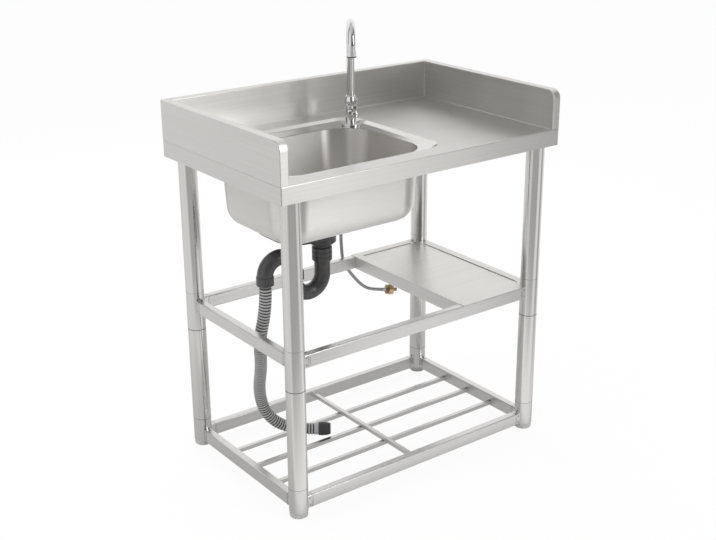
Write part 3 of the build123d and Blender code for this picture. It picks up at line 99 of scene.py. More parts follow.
# Frame, in metres
LEGS = {  # name: axis
    "front_left": (-0.356, -0.218),
    "back_left": (-0.356, 0.218),
    "front_right": (0.356, -0.218),
    "back_right": (0.356, 0.218),
}
LEG_RADIUS = 0.0225
# dark rings at the leg seams: the seam line with painted shadow beneath
LEG_SEAMS = [(0.419, 0.0002), (0.321, 0.0007), (0.075, 0.0003)]  # level, half height
RAIL_END = 0.0345  # leg axis to the end of a rail
RAIL_WIDTH = 0.020
RAIL_HEIGHT = 0.032
RAIL_CORNER = 0.003
RAIL_LEVELS = (0.384, 0.030)
COLLAR_WIDTH = 0.0035
COLLAR_RISE = 0.0002
RIVET_DISTANCE = 0.0255  # leg axis to the rivets
RIVET_SPREAD = 0.0085
RIVET_RADIUS = 0.0014
RACK_BAR_PLACES = (0.087, -0.007, -0.101)
RACK_BAR_TOP = 0.029
RACK_CROSS_SIDES = (-0.019, -0.009)
RACK_BAR_ENDS = (-0.346, 0.346)
# half lengths of the painted shadows at the rack's crossings and at its bar ends
RACK_CROSS_SHADOW = 0.0045  # half length
RACK_END_SHADOW = 0.005

# Splash, in metres
SPLASH_INNER_X = 0.378
SPLASH_INNER_Y = 0.228
SPLASH_FRONT = -0.246
SPLASH_TOP = 0.893
WORKTOP_LEVEL = 0.800
WELD_RADIUS = 0.0012
WELD_RIPPLE = 0.0012  # length of one ripple

RECESS_ZONE = (0.388, 0.238, 0.7985, 0.7998)  # half length, half depth, and the levels between which it fades
RECESS_GLOSS = 0.2  # taken off the roughness there
LEAN_ON_FLATS = 0.05  # keeps the upright direction usable on level faces

# Tap, in metres
TAP_AXIS = (0.0460478, 0.1119010)
SPOUT_TIP = (-0.01073, 0.02959, 0.9785)
TAP_RINGS = [  # level, radius, height
    (0.8000, 0.0135, 0.0030),
    (0.8655, 0.0118, 0.0022),
    (0.8690, 0.0106, 0.0012),
]
TAP_RING_BORE = 0.0096
MOUTH_RING_RADIUS = 0.0113
MOUTH_RING_BORE = 0.0072
LEVER_LEVEL = 0.825
LEVER_WAY = (-0.30902, -0.95106, 0.0)
LEVER_CAP_DISTANCE = 0.0319  # tap's axis to the end of the lever's hub
LEVER_CAP_RADIUS = 0.0088
LEVER_CAP_RISE = 0.0034

# Studio: bearings in degrees from +X, tones from 0 to 1
STUDIO_DIM = 0.12
STUDIO_SIDES = [  # bearing, half width, fade, tone
    (56, 56, 22, 1.0),
    (184, 32, 12, 0.85),
    (-40, 17, 1, 0.24),
    (-50.5, 3, 1.5, 0.72),
]
OVERHEAD_SPAN = (0.70, 0.92)
OVERHEAD_TONE = 0.62
ROOM_TONE = 0.85
FLOOR_DIM = 0.42
FLOOR_SIDES = [
    (50, 60, 18, 0.90),
    (122, 20, 10, 0.74),
    (172, 26, 14, 0.82),
    (-60, 11, 6, 0.86),
]
FLOOR_NEAR_SPAN = (0.4, 1.3)  # metres from the unit over which the floor takes its side's tone
FLOOR_FRONT_SPAN = (-0.30, -0.23)  # depth over which the near floor turns from its front to its shaded tone
FLOOR_FRONT_TONE = 1.0
FLOOR_SHADED_TONE = 0.52
FLOOR_GLOW_SHARE = 0.92
SOFTBOX_BEARING = -65.8
SOFTBOX_DISTANCE = 3.0
SOFTBOX_LEVEL = 2.1


# ---------------------------------------------------------------- camera


def make_camera():
    """The photograph's viewpoint."""
    data = bpy.data.cameras.new("camera")
    data.sensor_width = SENSOR_WIDTH
    data.lens = FOCAL_LENGTH / PHOTO_WIDTH * SENSOR_WIDTH
    data.shift_x = -FRAME_OFFSET / PHOTO_WIDTH
    data.shift_y = FRAME_OFFSET / PHOTO_WIDTH
    data.clip_start = 0.05
    data.clip_end = 60
    camera = bpy.data.objects.new("camera", data)
    bpy.context.scene.collection.objects.link(camera)
    turn = Matrix.Rotation(math.radians(-CAMERA_BEARING), 4, "Z")
    tip = Matrix.Rotation(math.radians(90 - CAMERA_DROP), 4, "X")
    roll = Matrix.Rotation(math.radians(CAMERA_ROLL), 4, "Z")
    camera.matrix_world = Matrix.Translation(CAMERA_PLACE) @ turn @ tip @ roll
    bpy.context.scene.camera = camera


# ---------------------------------------------------------------- shader helpers


class Nodes:
    """Short ways to add and join nodes of one tree."""

    def __init__(self, tree):
        self.tree = tree

    def add(self, kind, **settings):
        """A new node with its settings."""
        node = self.tree.nodes.new(kind)
        for name, value in settings.items():
            setattr(node, name, value)
        return node

    def join(self, source, target):
        """A link from an output to an input."""
        self.tree.links.new(source, target)

    def math(self, operation, first, second=0.0):
        """A Math node on sockets or numbers."""
        node = self.add("ShaderNodeMath", operation=operation)
        self.feed(node.inputs[0], first)
        self.feed(node.inputs[1], second)
        return node.outputs[0]

    def feed(self, target, source):
        """Gives an input a link or a plain value."""
        if isinstance(source, bpy.types.NodeSocket):
            self.join(source, target)
        else:
            target.default_value = source

    def noise(self, vector, scale, detail=4.0, roughness=0.55):
        """A noise pattern at a place."""
        node = self.add("ShaderNodeTexNoise")
        self.join(vector, node.inputs["Vector"])
        self.feed(node.inputs["Scale"], scale)
        self.feed(node.inputs["Detail"], detail)
        self.feed(node.inputs["Roughness"], roughness)
        return node.outputs["Fac"]

    def stretch(self, vector, scale):
        """A vector multiplied by another, part by part."""
        node = self.add("ShaderNodeVectorMath", operation="MULTIPLY")
        self.join(vector, node.inputs[0])
        self.feed(node.inputs[1], scale)
        return node.outputs[0]

    def span(self, value, low, high, out_low=0.0, out_high=1.0):
        """A value carried over from one range to another, held at its ends."""
        node = self.add("ShaderNodeMapRange")
        self.feed(node.inputs["Value"], value)
        self.feed(node.inputs["From Min"], low)
        self.feed(node.inputs["From Max"], high)
        self.feed(node.inputs["To Min"], out_low)
        self.feed(node.inputs["To Max"], out_high)
        return node.outputs["Result"]

    def mix(self, share, first, second):
        """Two colours mixed."""
        node = self.add("ShaderNodeMix", data_type="RGBA")
        self.feed(node.inputs["Factor"], share)
        self.feed(node.inputs["A"], first)
        self.feed(node.inputs["B"], second)
        return node.outputs["Result"]


def new_group(name, inputs, outputs):
    """An empty shader group with its sockets; returns its nodes' helper and its two end nodes."""
    tree = bpy.data.node_groups.new(name, "ShaderNodeTree")
    for label, kind, value in inputs:
        socket = tree.interface.new_socket(label, in_out="INPUT", socket_type=kind)
        socket.default_value = value
    for label, kind in outputs:
        tree.interface.new_socket(label, in_out="OUTPUT", socket_type=kind)
    nodes = Nodes(tree)
    return nodes, nodes.add("NodeGroupInput"), nodes.add("NodeGroupOutput")


def make_brushing():
    """Fine lines of a brushed sheet, turned with the face, and the broad cloudy marks of handling."""
    nodes, start, end = new_group(
        "brushing",
        [
            ("Grain", "NodeSocketVector", (6.0, 1400.0, 1400.0)),
            ("Side Grain", "NodeSocketVector", (1400.0, 6.0, 1400.0)),
            ("Cloud Scale", "NodeSocketFloat", 5.0),
        ],
        [("Lines", "NodeSocketFloat"), ("Streaks", "NodeSocketFloat"), ("Clouds", "NodeSocketFloat")],
    )
    place = nodes.add("ShaderNodeTexCoord")
    parts = nodes.add("ShaderNodeSeparateXYZ")
    nodes.join(place.outputs["Normal"], parts.inputs[0])
    facing = nodes.math("GREATER_THAN", nodes.math("ABSOLUTE", parts.outputs["X"]), 0.7)
    grain = nodes.add("ShaderNodeMix", data_type="VECTOR")
    nodes.feed(grain.inputs["Factor"], facing)
    nodes.join(start.outputs["Grain"], grain.inputs[4])
    nodes.join(start.outputs["Side Grain"], grain.inputs[5])
    fine = nodes.stretch(place.outputs["Object"], grain.outputs[1])
    nodes.join(nodes.noise(fine, 1.0, 3.0), end.inputs["Lines"])
    broad = nodes.stretch(fine, (0.3, 0.3, 0.3))
    nodes.join(nodes.noise(broad, 1.0, 2.0), end.inputs["Streaks"])
    cloudy = nodes.noise(place.outputs["Object"], start.outputs["Cloud Scale"], 4.0, 0.6)
    nodes.join(cloudy, end.inputs["Clouds"])
    return nodes.tree


def make_grime():
    """Fine grain and faint patches of a moulded or rubber surface."""
    nodes, start, end = new_group(
        "grime",
        [("Grain Scale", "NodeSocketFloat", 1800.0), ("Patch Scale", "NodeSocketFloat", 35.0)],
        [("Grain", "NodeSocketFloat"), ("Patches", "NodeSocketFloat")],
    )
    place = nodes.add("ShaderNodeTexCoord")
    nodes.join(nodes.noise(place.outputs["Object"], start.outputs["Grain Scale"], 2.0), end.inputs["Grain"])
    nodes.join(nodes.noise(place.outputs["Object"], start.outputs["Patch Scale"], 5.0), end.inputs["Patches"])
    return nodes.tree


def new_material(name):
    """A fresh material with its shader; returns it, its nodes and the shader."""
    material = bpy.data.materials.new(name)
    material.use_nodes = True
    nodes = Nodes(material.node_tree)
    return material, nodes, material.node_tree.nodes["Principled BSDF"]


def use_group(nodes, tree, **values):
    """Places a shader group and sets its inputs; an underscore stands for a space."""
    node = nodes.add("ShaderNodeGroup", node_tree=tree)
    for label, value in values.items():
        node.inputs[label.replace("_", " ")].default_value = value
    return node


def set_bump(nodes, shader, height, strength, distance):
    """Raises a surface a little by a pattern."""
    bump = nodes.add("ShaderNodeBump")
    bump.inputs["Strength"].default_value = strength
    bump.inputs["Distance"].default_value = distance
    nodes.join(height, bump.inputs["Height"])
    nodes.join(bump.outputs["Normal"], shader.inputs["Normal"])


def make_steel(name, brushing, tone, rough, spread=0.03, warmth=0.008, grain=None, lines=0.12, pull=0.0):
    """Stainless steel: fine lines in its colour and gloss, and faint clouds.

    grain overrides the brushing's own two directions; pull draws the highlights out upright.
    """
    material, nodes, shader = new_material(name)
    brushed = use_group(nodes, brushing, **({"Grain": grain, "Side_Grain": grain} if grain else {}))
    share = nodes.span(brushed.outputs["Streaks"], 0.3, 0.7)
    colour = nodes.mix(share, grey(tone - spread, warmth), grey(tone + spread, warmth))
    nodes.join(colour, shader.inputs["Base Color"])
    shader.inputs["Metallic"].default_value = 1.0
    cloudy = nodes.span(brushed.outputs["Clouds"], 0.3, 0.7, rough * 0.9, rough * 1.12)
    lined = nodes.span(brushed.outputs["Lines"], 0.3, 0.7, -0.02, 0.03)
    nodes.join(nodes.math("ADD", cloudy, lined), shader.inputs["Roughness"])
    if pull:
        shader.inputs["Anisotropic"].default_value = pull
        upright = nodes.add("ShaderNodeCombineXYZ")
        upright.inputs["Y"].default_value = LEAN_ON_FLATS
        upright.inputs["Z"].default_value = 1.0
        nodes.join(upright.outputs[0], shader.inputs["Tangent"])
    set_bump(nodes, shader, brushed.outputs["Lines"], lines, 0.00004)
    return material


def make_plastic(name, grime, light, dark, rough, grain_scale=1800.0, bump=0.15):
    """Moulded plastic or rubber with a fine grain."""
    material, nodes, shader = new_material(name)
    surface = use_group(nodes, grime, Grain_Scale=grain_scale)
    patches = nodes.span(surface.outputs["Patches"], 0.3, 0.7)
    nodes.join(nodes.mix(patches, dark, light), shader.inputs["Base Color"])
    gloss = nodes.span(surface.outputs["Patches"], 0.3, 0.7, rough * 0.85, rough * 1.15)
    nodes.join(gloss, shader.inputs["Roughness"])
    set_bump(nodes, shader, surface.outputs["Grain"], bump, 0.0002)
    return material


def grey(value, warmth=0.0):
    """A grey of that brightness; warmth takes a little blue away and adds a little red."""
    return (value * (1 + warmth), value, value * (1 - 2 * warmth), 1.0)


def polish_recess(material):
    """Makes the pressed recess round the bowl glossier than the brushed field of the worktop."""
    nodes = Nodes(material.node_tree)
    shader = material.node_tree.nodes["Principled BSDF"]
    rough = shader.inputs["Roughness"].links[0].from_socket
    parts = nodes.add("ShaderNodeSeparateXYZ")
    nodes.join(nodes.add("ShaderNodeTexCoord").outputs["Object"], parts.inputs[0])
    inside = nodes.math("LESS_THAN", nodes.math("ABSOLUTE", parts.outputs["X"]), RECESS_ZONE[0])
    inside_y = nodes.math("LESS_THAN", nodes.math("ABSOLUTE", parts.outputs["Y"]), RECESS_ZONE[1])
    below = nodes.span(parts.outputs["Z"], RECESS_ZONE[2], RECESS_ZONE[3], 1.0, 0.0)
    share = nodes.math("MULTIPLY", nodes.math("MULTIPLY", inside, inside_y), below)
    glossier = nodes.math("SUBTRACT", rough, nodes.math("MULTIPLY", share, RECESS_GLOSS))
    nodes.join(glossier, shader.inputs["Roughness"])
    return material


def tint(material, colour, dull):
    """Turns a steel's two tones into the bright and dull tone of another metal."""
    mix = next(node for node in material.node_tree.nodes if node.bl_idname == "ShaderNodeMix")
    mix.inputs["A"].default_value = dull
    mix.inputs["B"].default_value = colour
    return material


def make_hose_plastic(grime):
    """Grey ribbed plastic, with painted shade darkening it down in its grooves."""
    material = make_plastic("hose_plastic", grime, grey(0.46), grey(0.38), 0.40)
    nodes = Nodes(material.node_tree)
    shader = material.node_tree.nodes["Principled BSDF"]
    surface = shader.inputs["Base Color"].links[0].from_socket
    # painted shade: the colour goes towards near black with each point's depth in a groove
    groove_shade = nodes.add("ShaderNodeAttribute", attribute_name="groove_shade")
    nodes.join(nodes.mix(groove_shade.outputs["Fac"], surface, grey(0.02)), shader.inputs["Base Color"])
    return material


def make_materials():
    """Every finish of the unit, by name."""
    brushing = make_brushing()
    grime = make_grime()
    finishes = {}
    upright_grain = (900.0, 900.0, 6.0)
    even_grain = (350.0, 350.0, 350.0)
    finishes["sheet"] = make_steel("sheet_steel", brushing, 0.76, 0.31, warmth=0.014, pull=0.88)
    finishes["worktop"] = polish_recess(
        make_steel("worktop_steel", brushing, 0.74, 0.31, warmth=0.014, pull=0.85)
    )
    finishes["pressed"] = make_steel(
        "pressed_steel", brushing, 0.82, 0.38, spread=0.015, warmth=0.018, grain=(40.0, 40.0, 1500.0),
        lines=0.05, pull=0.92,
    )
    finishes["tube"] = make_steel(
        "tube_steel", brushing, 0.72, 0.16, warmth=0.014, grain=upright_grain, lines=0.04, pull=0.5
    )
    finishes["rail"] = make_steel("rail_steel", brushing, 0.71, 0.30, lines=0.08, pull=0.4)
    finishes["joint"] = make_steel(
        "joint_steel", brushing, 0.70, 0.20, grain=upright_grain, lines=0.05, pull=0.4
    )
    finishes["drain"] = make_steel("drain_steel", brushing, 0.68, 0.22, grain=even_grain, lines=0.03)
    finishes["weld"] = make_steel(
        "weld_steel", brushing, 0.78, 0.30, spread=0.06, grain=even_grain, lines=0.3
    )
    finishes["chrome"] = make_steel(
        "tap_chrome", brushing, 0.80, 0.05, spread=0.01, warmth=0.0, grain=(60.0, 60.0, 60.0), lines=0.01
    )
    finishes["brass"] = tint(
        make_steel("machined_brass", brushing, 0.6, 0.26, grain=even_grain, lines=0.1),
        (0.80, 0.60, 0.38, 1.0),
        (0.66, 0.47, 0.28, 1.0),
    )
    finishes["braid"] = make_steel(
        "wire_braid", brushing, 0.44, 0.36, spread=0.05, warmth=0.0, grain=(900.0, 900.0, 900.0), lines=0.2
    )
    finishes["trap"] = make_plastic("trap_plastic", grime, grey(0.060), grey(0.045), 0.27)
    finishes["hose"] = make_hose_plastic(grime)
    finishes["rubber"] = make_plastic("black_rubber", grime, grey(0.055), grey(0.035), 0.60, 1200.0, 0.3)
    finishes["foot"] = make_plastic("foot_plastic", grime, grey(0.52, 0.006), grey(0.44, 0.006), 0.38)
    # near black for painted shade: seam lines with their shadows, rings round the rivets, shadows on the rack
    finishes["gap"] = make_plastic("seam_shade", grime, grey(0.03), grey(0.015), 0.7)
    finishes["tail"] = tint(
        make_steel("dull_brass", brushing, 0.4, 0.34, grain=even_grain, lines=0.1),
        (0.42, 0.31, 0.20, 1.0),
        (0.30, 0.21, 0.13, 1.0),
    )
    return finishes


# ---------------------------------------------------------------- mesh helpers


def piece(name, bm, body, material, smooth_angle=35.0):
    """Makes the finished mesh a piece that rides on a body."""
    mesh = bpy.data.meshes.new(name)
    bm.to_mesh(mesh)
    bm.free()
    mesh.shade_smooth()
    mesh.set_sharp_from_angle(angle=math.radians(smooth_angle))
    mesh.materials.append(material)
    obj = bpy.data.objects.new(name, mesh)
    bpy.context.scene.collection.objects.link(obj)
    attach(obj, body)
    return obj


def spun(profile, steps=64, closed=False):
    """A bmesh turned about Z from (radius, height) points, its normals outwards."""
    bm = bmesh.new()
    verts = [bm.verts.new((radius, 0, height)) for radius, height in profile]
    edges = [bm.edges.new(pair) for pair in zip(verts, verts[1:])]
    if closed:
        edges.append(bm.edges.new((verts[-1], verts[0])))
    bmesh.ops.spin(
        bm, geom=verts + edges, cent=(0, 0, 0), axis=(0, 0, 1), angle=math.tau, steps=steps, use_merge=True
    )
    bmesh.ops.remove_doubles(bm, verts=bm.verts, dist=1e-6)
    bmesh.ops.recalc_face_normals(bm, faces=bm.faces)
    return bm


def route_line(route):
    """Points along the smooth NURBS line of a route."""
    data = bpy.data.curves.new("route", "CURVE")
    data.dimensions = "3D"
    data.resolution_u = 48
    spline = data.splines.new("NURBS")
    spline.points.add(len(route) - 1)
    for point, place in zip(spline.points, route):
        point.co = (*place, 1.0)
    spline.order_u = 3
    spline.use_endpoint_u = True
    holder = bpy.data.objects.new("route", data)
    bpy.context.scene.collection.objects.link(holder)
    bpy.context.view_layer.update()
    mesh = bpy.data.meshes.new_from_object(holder.evaluated_get(bpy.context.evaluated_depsgraph_get()))
    points = [v.co.copy() for v in mesh.vertices]
    bpy.data.objects.remove(holder)
    bpy.data.meshes.remove(mesh)
    return points


def distances(points):
    """How far along the line each point lies."""
    far = [0.0]
    for first, second in zip(points, points[1:]):
        far.append(far[-1] + (second - first).length)
    return far


class Line:
    """A smooth line that gives its place and its two cross directions at any distance."""

    def __init__(self, points):
        self.points = points
        self.far = distances(points)
        self.length = self.far[-1]
        self.ways = []
        for index in range(len(points)):
            before = points[max(index - 1, 0)]
            after = points[min(index + 1, len(points) - 1)]
            self.ways.append((after - before).normalized())
        side = self.ways[0].orthogonal().normalized()
        self.sides = [side]
        for before, after in zip(self.ways, self.ways[1:]):
            side = before.rotation_difference(after) @ side
            side = (side - after * side.dot(after)).normalized()
            self.sides.append(side)

    def at(self, distance):
        """Place, first and second cross directions at a distance; the ends run on straight."""
        if distance <= 0:
            index, share = 0, 0.0
        elif distance >= self.length:
            index, share = len(self.points) - 2, 1.0
        else:
            index = next(i for i in range(len(self.far) - 1) if self.far[i + 1] >= distance)
            share = (distance - self.far[index]) / (self.far[index + 1] - self.far[index])
        place = self.points[index].lerp(self.points[index + 1], share)
        way = self.ways[index].lerp(self.ways[index + 1], share).normalized()
        side = self.sides[index].lerp(self.sides[index + 1], share)
        side = (side - way * side.dot(way)).normalized()
        beyond = min(distance, 0) + max(distance - self.length, 0)
        return place + way * beyond, side, way.cross(side)


def lay_along(bm, line):
    """Bends a mesh that stands along Z from 0 to the line's length onto the line."""
    frames = {}
    for vert in bm.verts:
        height = round(vert.co.z, 6)
        if height not in frames:
            frames[height] = line.at(height)
        place, side, cross = frames[height]
        vert.co = place + side * vert.co.x + cross * vert.co.y


# ---------------------------------------------------------------- hoses


def make_drain_hose(finishes, sleeve):
    """The ribbed waste hose with its bore."""
    line = Line(route_line(DRAIN_HOSE_ROUTE))
    crest = DRAIN_HOSE_RADIUS
    valley = crest - DRAIN_HOSE_RIB
    ribs = int((line.length - 2 * DRAIN_HOSE_PLAIN_END) / DRAIN_HOSE_PITCH)
    start = (line.length - ribs * DRAIN_HOSE_PITCH) / 2
    profile = [(crest, 0.0)]
    for rib in range(ribs):
        foot = start + rib * DRAIN_HOSE_PITCH
        for share, radius in ((0.02, valley), (0.30, valley), (0.44, crest - 0.0002), (0.52, crest),
                              (0.78, crest), (0.87, crest - 0.0002)):
            profile.append((radius, foot + share * DRAIN_HOSE_PITCH))
    profile.append((crest, line.length))
    bore = crest - DRAIN_HOSE_WALL
    profile += [(bore, line.length * (1 - ring / ribs)) for ring in range(ribs + 1)]
    bm = spun(profile, steps=40, closed=True)
    # depth in a groove, 0 at the crest to 1 at the bottom, for the painted shade in the hose's colour
    groove_shade = bm.verts.layers.float.new("groove_shade")
    for vert in bm.verts:
        depth = crest - math.hypot(vert.co.x, vert.co.y)
        vert[groove_shade] = min(1.0, depth / DRAIN_HOSE_RIB)
    lay_along(bm, line)
    bmesh.ops.recalc_face_normals(bm, faces=bm.faces)
    hose = piece("ribbed_drain_hose", bm, "base", finishes["hose"], 50.0)
    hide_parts("drain_hose")


def make_supply_hose(finishes, ferrule):
    """The braided supply hose, its wire bands crossing over each other."""
    line = Line(route_line(SUPPLY_HOSE_ROUTE))
    radius = SUPPLY_HOSE_RADIUS - BRAID_HEIGHT
    profile = [(radius, line.length * ring / BRAID_RINGS) for ring in range(BRAID_RINGS + 1)]
    bm = spun(profile, steps=48)
    turn_rate = math.tau / (BRAID_BANDS * BRAID_PITCH)
    for vert in bm.verts:
        around = math.atan2(vert.co.y, vert.co.x)
        rising = BRAID_BANDS * around + BRAID_BANDS * turn_rate * vert.co.z
        falling = BRAID_BANDS * around - BRAID_BANDS * turn_rate * vert.co.z
        crossing = math.cos(rising / 2) * math.cos(falling / 2)
        lift = abs(math.cos(rising if crossing > 0 else falling))
        grow = 1 + BRAID_HEIGHT * lift / radius
        vert.co.x *= grow
        vert.co.y *= grow
    ends = [edge for edge in bm.edges if edge.is_boundary]
    bmesh.ops.holes_fill(bm, edges=ends)
    lay_along(bm, line)
    bmesh.ops.recalc_face_normals(bm, faces=bm.faces)
    hose = piece("braided_supply_hose", bm, "base", finishes["braid"], 60.0)
    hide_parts("supply_hose")


# ---------------------------------------------------------------- small details


def standing(place, way):
    """The matrix that stands a shape made along Z at a place, along a direction."""
    turn = Vector(way).to_track_quat("Z", "Y").to_matrix().to_4x4()
    return Matrix.Translation(place) @ turn


def add_part(bm, part, matrix):
    """Adds a finished shape to a mesh at its place."""
    bmesh.ops.transform(part, matrix=matrix, verts=part.verts)
    holder = bpy.data.meshes.new("part")
    part.to_mesh(holder)
    part.free()
    bm.from_mesh(holder)
    bpy.data.meshes.remove(holder)


def add_spun(bm, profile, matrix, steps=48, closed=True):
    """Adds a turned shape to a mesh at its place."""
    add_part(bm, spun(profile, steps, closed), matrix)


def add_bead(bm, start, end):
    """Adds a rippled bead between two points: a weld, or a painted shadow on the rack."""
    start, end = Vector(start), Vector(end)
    length = (end - start).length
    rings = max(6, round(length / WELD_RIPPLE))
    profile = [(0.0, 0.0)]
    for ring in range(1, rings):
        ripple = 0.82 if ring % 2 else 1.0
        profile.append((WELD_RADIUS * ripple, length * ring / rings))
    profile.append((0.0, length))
    add_spun(bm, profile, standing(start, end - start), steps=10, closed=False)


def add_band(bm, matrix, grow, near, far):
    """Adds a thin band round a rail's section, between two distances along Z."""
    band = bmesh.new()
    half_width = RAIL_WIDTH / 2 + grow - RAIL_CORNER
    half_height = RAIL_HEIGHT / 2 + grow - RAIL_CORNER
    verts = []
    for quarter, (side, rise) in enumerate(((1, 1), (-1, 1), (-1, -1), (1, -1))):
        for step in range(5):
            angle = math.radians(90 * quarter + 22.5 * step)
            across = side * half_width + RAIL_CORNER * math.cos(angle)
            up = rise * half_height + RAIL_CORNER * math.sin(angle)
            verts.append(band.verts.new((across, up, near)))
    edges = [band.edges.new(pair) for pair in zip(verts, verts[1:] + verts[:1])]
    pulled = bmesh.ops.extrude_edge_only(band, edges=edges)
    raised = [item for item in pulled["geom"] if isinstance(item, bmesh.types.BMVert)]
    bmesh.ops.translate(band, verts=raised, vec=(0, 0, far - near))
    bmesh.ops.recalc_face_normals(band, faces=band.faces)
    bmesh.ops.solidify(band, geom=band.faces, thickness=2.5 * grow)
    bmesh.ops.recalc_face_normals(band, faces=band.faces)
    add_part(bm, band, matrix)


def make_leg_details(finishes):
    """Dark seam rings round the legs, the seam lines with painted shadow, and the collars and rivets at the
    rail ends, with painted shade lines at the collars' edges and painted shade rings round the rivets.
    """
    for name, (x, y) in LEGS.items():
        seams_and_shade = bmesh.new()
        collars = bmesh.new()
        rivets = bmesh.new()
        inner, outer = LEG_RADIUS - 0.0005, LEG_RADIUS + 0.0001
        # painted shade: thin near-black rings at the leg seams, the seam line with its shadow beneath
        for level, half in LEG_SEAMS:
            profile = [(inner, -half), (outer, -half), (outer, half), (inner, half)]
            add_spun(seams_and_shade, profile, Matrix.Translation((x, y, level)), steps=72)
        for level in RAIL_LEVELS:
            for way, outward in (((-x, 0, 0), (0, y, 0)), ((0, -y, 0), (x, 0, 0))):
                way, outward = Vector(way).normalized(), Vector(outward).normalized()
                side = Vector((0, 0, 1)).cross(way)
                turn = Matrix((side, Vector((0, 0, 1)), way)).transposed().to_4x4()
                arm = Matrix.Translation((x, y, level)) @ turn
                add_band(collars, arm, COLLAR_RISE, RAIL_END - COLLAR_WIDTH, RAIL_END - 0.0002)
                # painted shade lines at both edges of each collar
                add_band(seams_and_shade, arm, COLLAR_RISE / 2, RAIL_END - 0.0003, RAIL_END + 0.0004)
                shade = RAIL_END - COLLAR_WIDTH
                add_band(seams_and_shade, arm, COLLAR_RISE / 2, shade - 0.0005, shade)
                for rise in (-RIVET_SPREAD, RIVET_SPREAD):
                    spot = Vector((x, y, level + rise)) + way * RIVET_DISTANCE + outward * RAIL_WIDTH / 2
                    head = RIVET_RADIUS
                    dome = [
                        (0, 0.0005), (0.6 * head, 0.00042), (head, 0.0001), (head, -0.0006), (0, -0.0006),
                    ]
                    add_spun(rivets, dome, standing(spot, outward), steps=20, closed=False)
                    # a painted shade ring round each rivet head
                    rim = [(head, -0.0004), (1.5 * head, -0.0004), (1.5 * head, 0.0001), (head, 0.0001)]
                    add_spun(seams_and_shade, rim, standing(spot, outward), steps=20)
        piece(f"leg_{name}_seams", seams_and_shade, "base", finishes["gap"], 30.0)
        piece(f"leg_{name}_collars", collars, "base", finishes["joint"], 30.0)
        piece(f"leg_{name}_rivets", rivets, "base", finishes["rail"], 30.0)


def make_welds(finishes):
    """Weld beads where the splash meets the worktop and up its corners, and near-black painted shadows on the
    rack where its bars cross and meet the rails.
    """
    bm = bmesh.new()
    left, right, back = -SPLASH_INNER_X, SPLASH_INNER_X, SPLASH_INNER_Y
    add_bead(bm, (left, SPLASH_FRONT, WORKTOP_LEVEL), (left, back, WORKTOP_LEVEL))
    add_bead(bm, (left, back, WORKTOP_LEVEL), (right, back, WORKTOP_LEVEL))
    add_bead(bm, (right, SPLASH_FRONT, WORKTOP_LEVEL), (right, back, WORKTOP_LEVEL))
    for x in (left, right):
        add_bead(bm, (x, back, WORKTOP_LEVEL), (x, back, SPLASH_TOP))
    piece("splash_welds", bm, "base", finishes["weld"], 60.0)
    # painted shadows: near-black beads where the rack's bars cross the crossbar and meet the rails
    bm = bmesh.new()
    for place in RACK_BAR_PLACES:
        for places, half in ((RACK_CROSS_SIDES, RACK_CROSS_SHADOW), (RACK_BAR_ENDS, RACK_END_SHADOW)):
            for x in places:
                add_bead(bm, (x, place - half, RACK_BAR_TOP), (x, place + half, RACK_BAR_TOP))
    piece("rack_painted_shadows", bm, "base", finishes["gap"], 60.0)


def make_tap_details(finishes):
    """Rings on the tap's body, the black ring and screen in the spout's mouth, and the lever's domed cap."""
    bm = bmesh.new()
    axis = Matrix.Translation((*TAP_AXIS, 0))
    for level, radius, height in TAP_RINGS:
        edge = height / 3
        profile = [
            (TAP_RING_BORE, level - height / 2),
            (radius - edge, level - height / 2),
            (radius, level - height / 2 + edge),
            (radius, level + height / 2 - edge),
            (radius - edge, level + height / 2),
            (TAP_RING_BORE, level + height / 2),
        ]
        add_spun(bm, profile, axis, steps=64)
    piece("tap_rings", bm, "base", finishes["chrome"], 30.0)

    bm = bmesh.new()
    outer = MOUTH_RING_RADIUS
    ring = [
        (MOUTH_RING_BORE, 0.0002),
        (outer - 0.0003, 0.0002),
        (outer, 0.0006),
        (outer, 0.0026),
        (outer - 0.0006, 0.0030),
        (MOUTH_RING_BORE, 0.0008),
    ]
    add_spun(bm, ring, Matrix.Translation(SPOUT_TIP), steps=56)
    screen = [(0, 0.0022)]
    for wave in range(1, 12):
        screen.append((0.0006 * wave, 0.0022 + 0.0002 * (wave % 2)))
    screen += [(0.0066, 0.0034), (0, 0.0034)]
    add_spun(bm, screen, Matrix.Translation(SPOUT_TIP), steps=40, closed=False)
    piece("spout_mouth_ring", bm, "spout", finishes["rubber"], 30.0)

    bm = bmesh.new()
    cap = [(0.0, LEVER_CAP_RISE)]
    for step in range(1, 13):
        angle = math.radians(7.5 * step)
        cap.append((LEVER_CAP_RADIUS * math.sin(angle), LEVER_CAP_RISE * math.cos(angle)))
    cap += [(LEVER_CAP_RADIUS, -0.0006), (0.0, -0.0006)]
    spot = Vector((*TAP_AXIS, LEVER_LEVEL)) + Vector(LEVER_WAY) * LEVER_CAP_DISTANCE
    add_spun(bm, cap, standing(spot, LEVER_WAY), steps=48, closed=False)
    piece("lever_cap", bm, "lever", finishes["chrome"], 40.0)


def ferrule_profile(length):
    """A crimped ferrule with two pressed grooves, along Z."""
    radius, bore = FERRULE_RADIUS, SUPPLY_HOSE_RADIUS - 0.0006
    profile = [(bore, 0.0), (radius - 0.0004, 0.0), (radius, 0.0004)]
    for share in (0.35, 0.65):
        middle = share * length
        profile += [
            (radius, middle - 0.0013),
            (radius - 0.0006, middle - 0.0008),
            (radius - 0.0006, middle + 0.0008),
            (radius, middle + 0.0013),
        ]
    return profile + [(radius, length - 0.0004), (radius - 0.0004, length), (bore, length)]


def make_ferrule(name, route, at_end, finishes):
    """The ferrule at one end of the supply hose."""
    place, nearby = (route[-1], route[-2]) if at_end else (route[0], route[1])
    bm = bmesh.new()
    way = Vector(nearby) - Vector(place)
    add_spun(bm, ferrule_profile(FERRULE_LENGTH), standing(place, way), steps=40)
    return piece(name, bm, "base", finishes["drain"], 25.0)


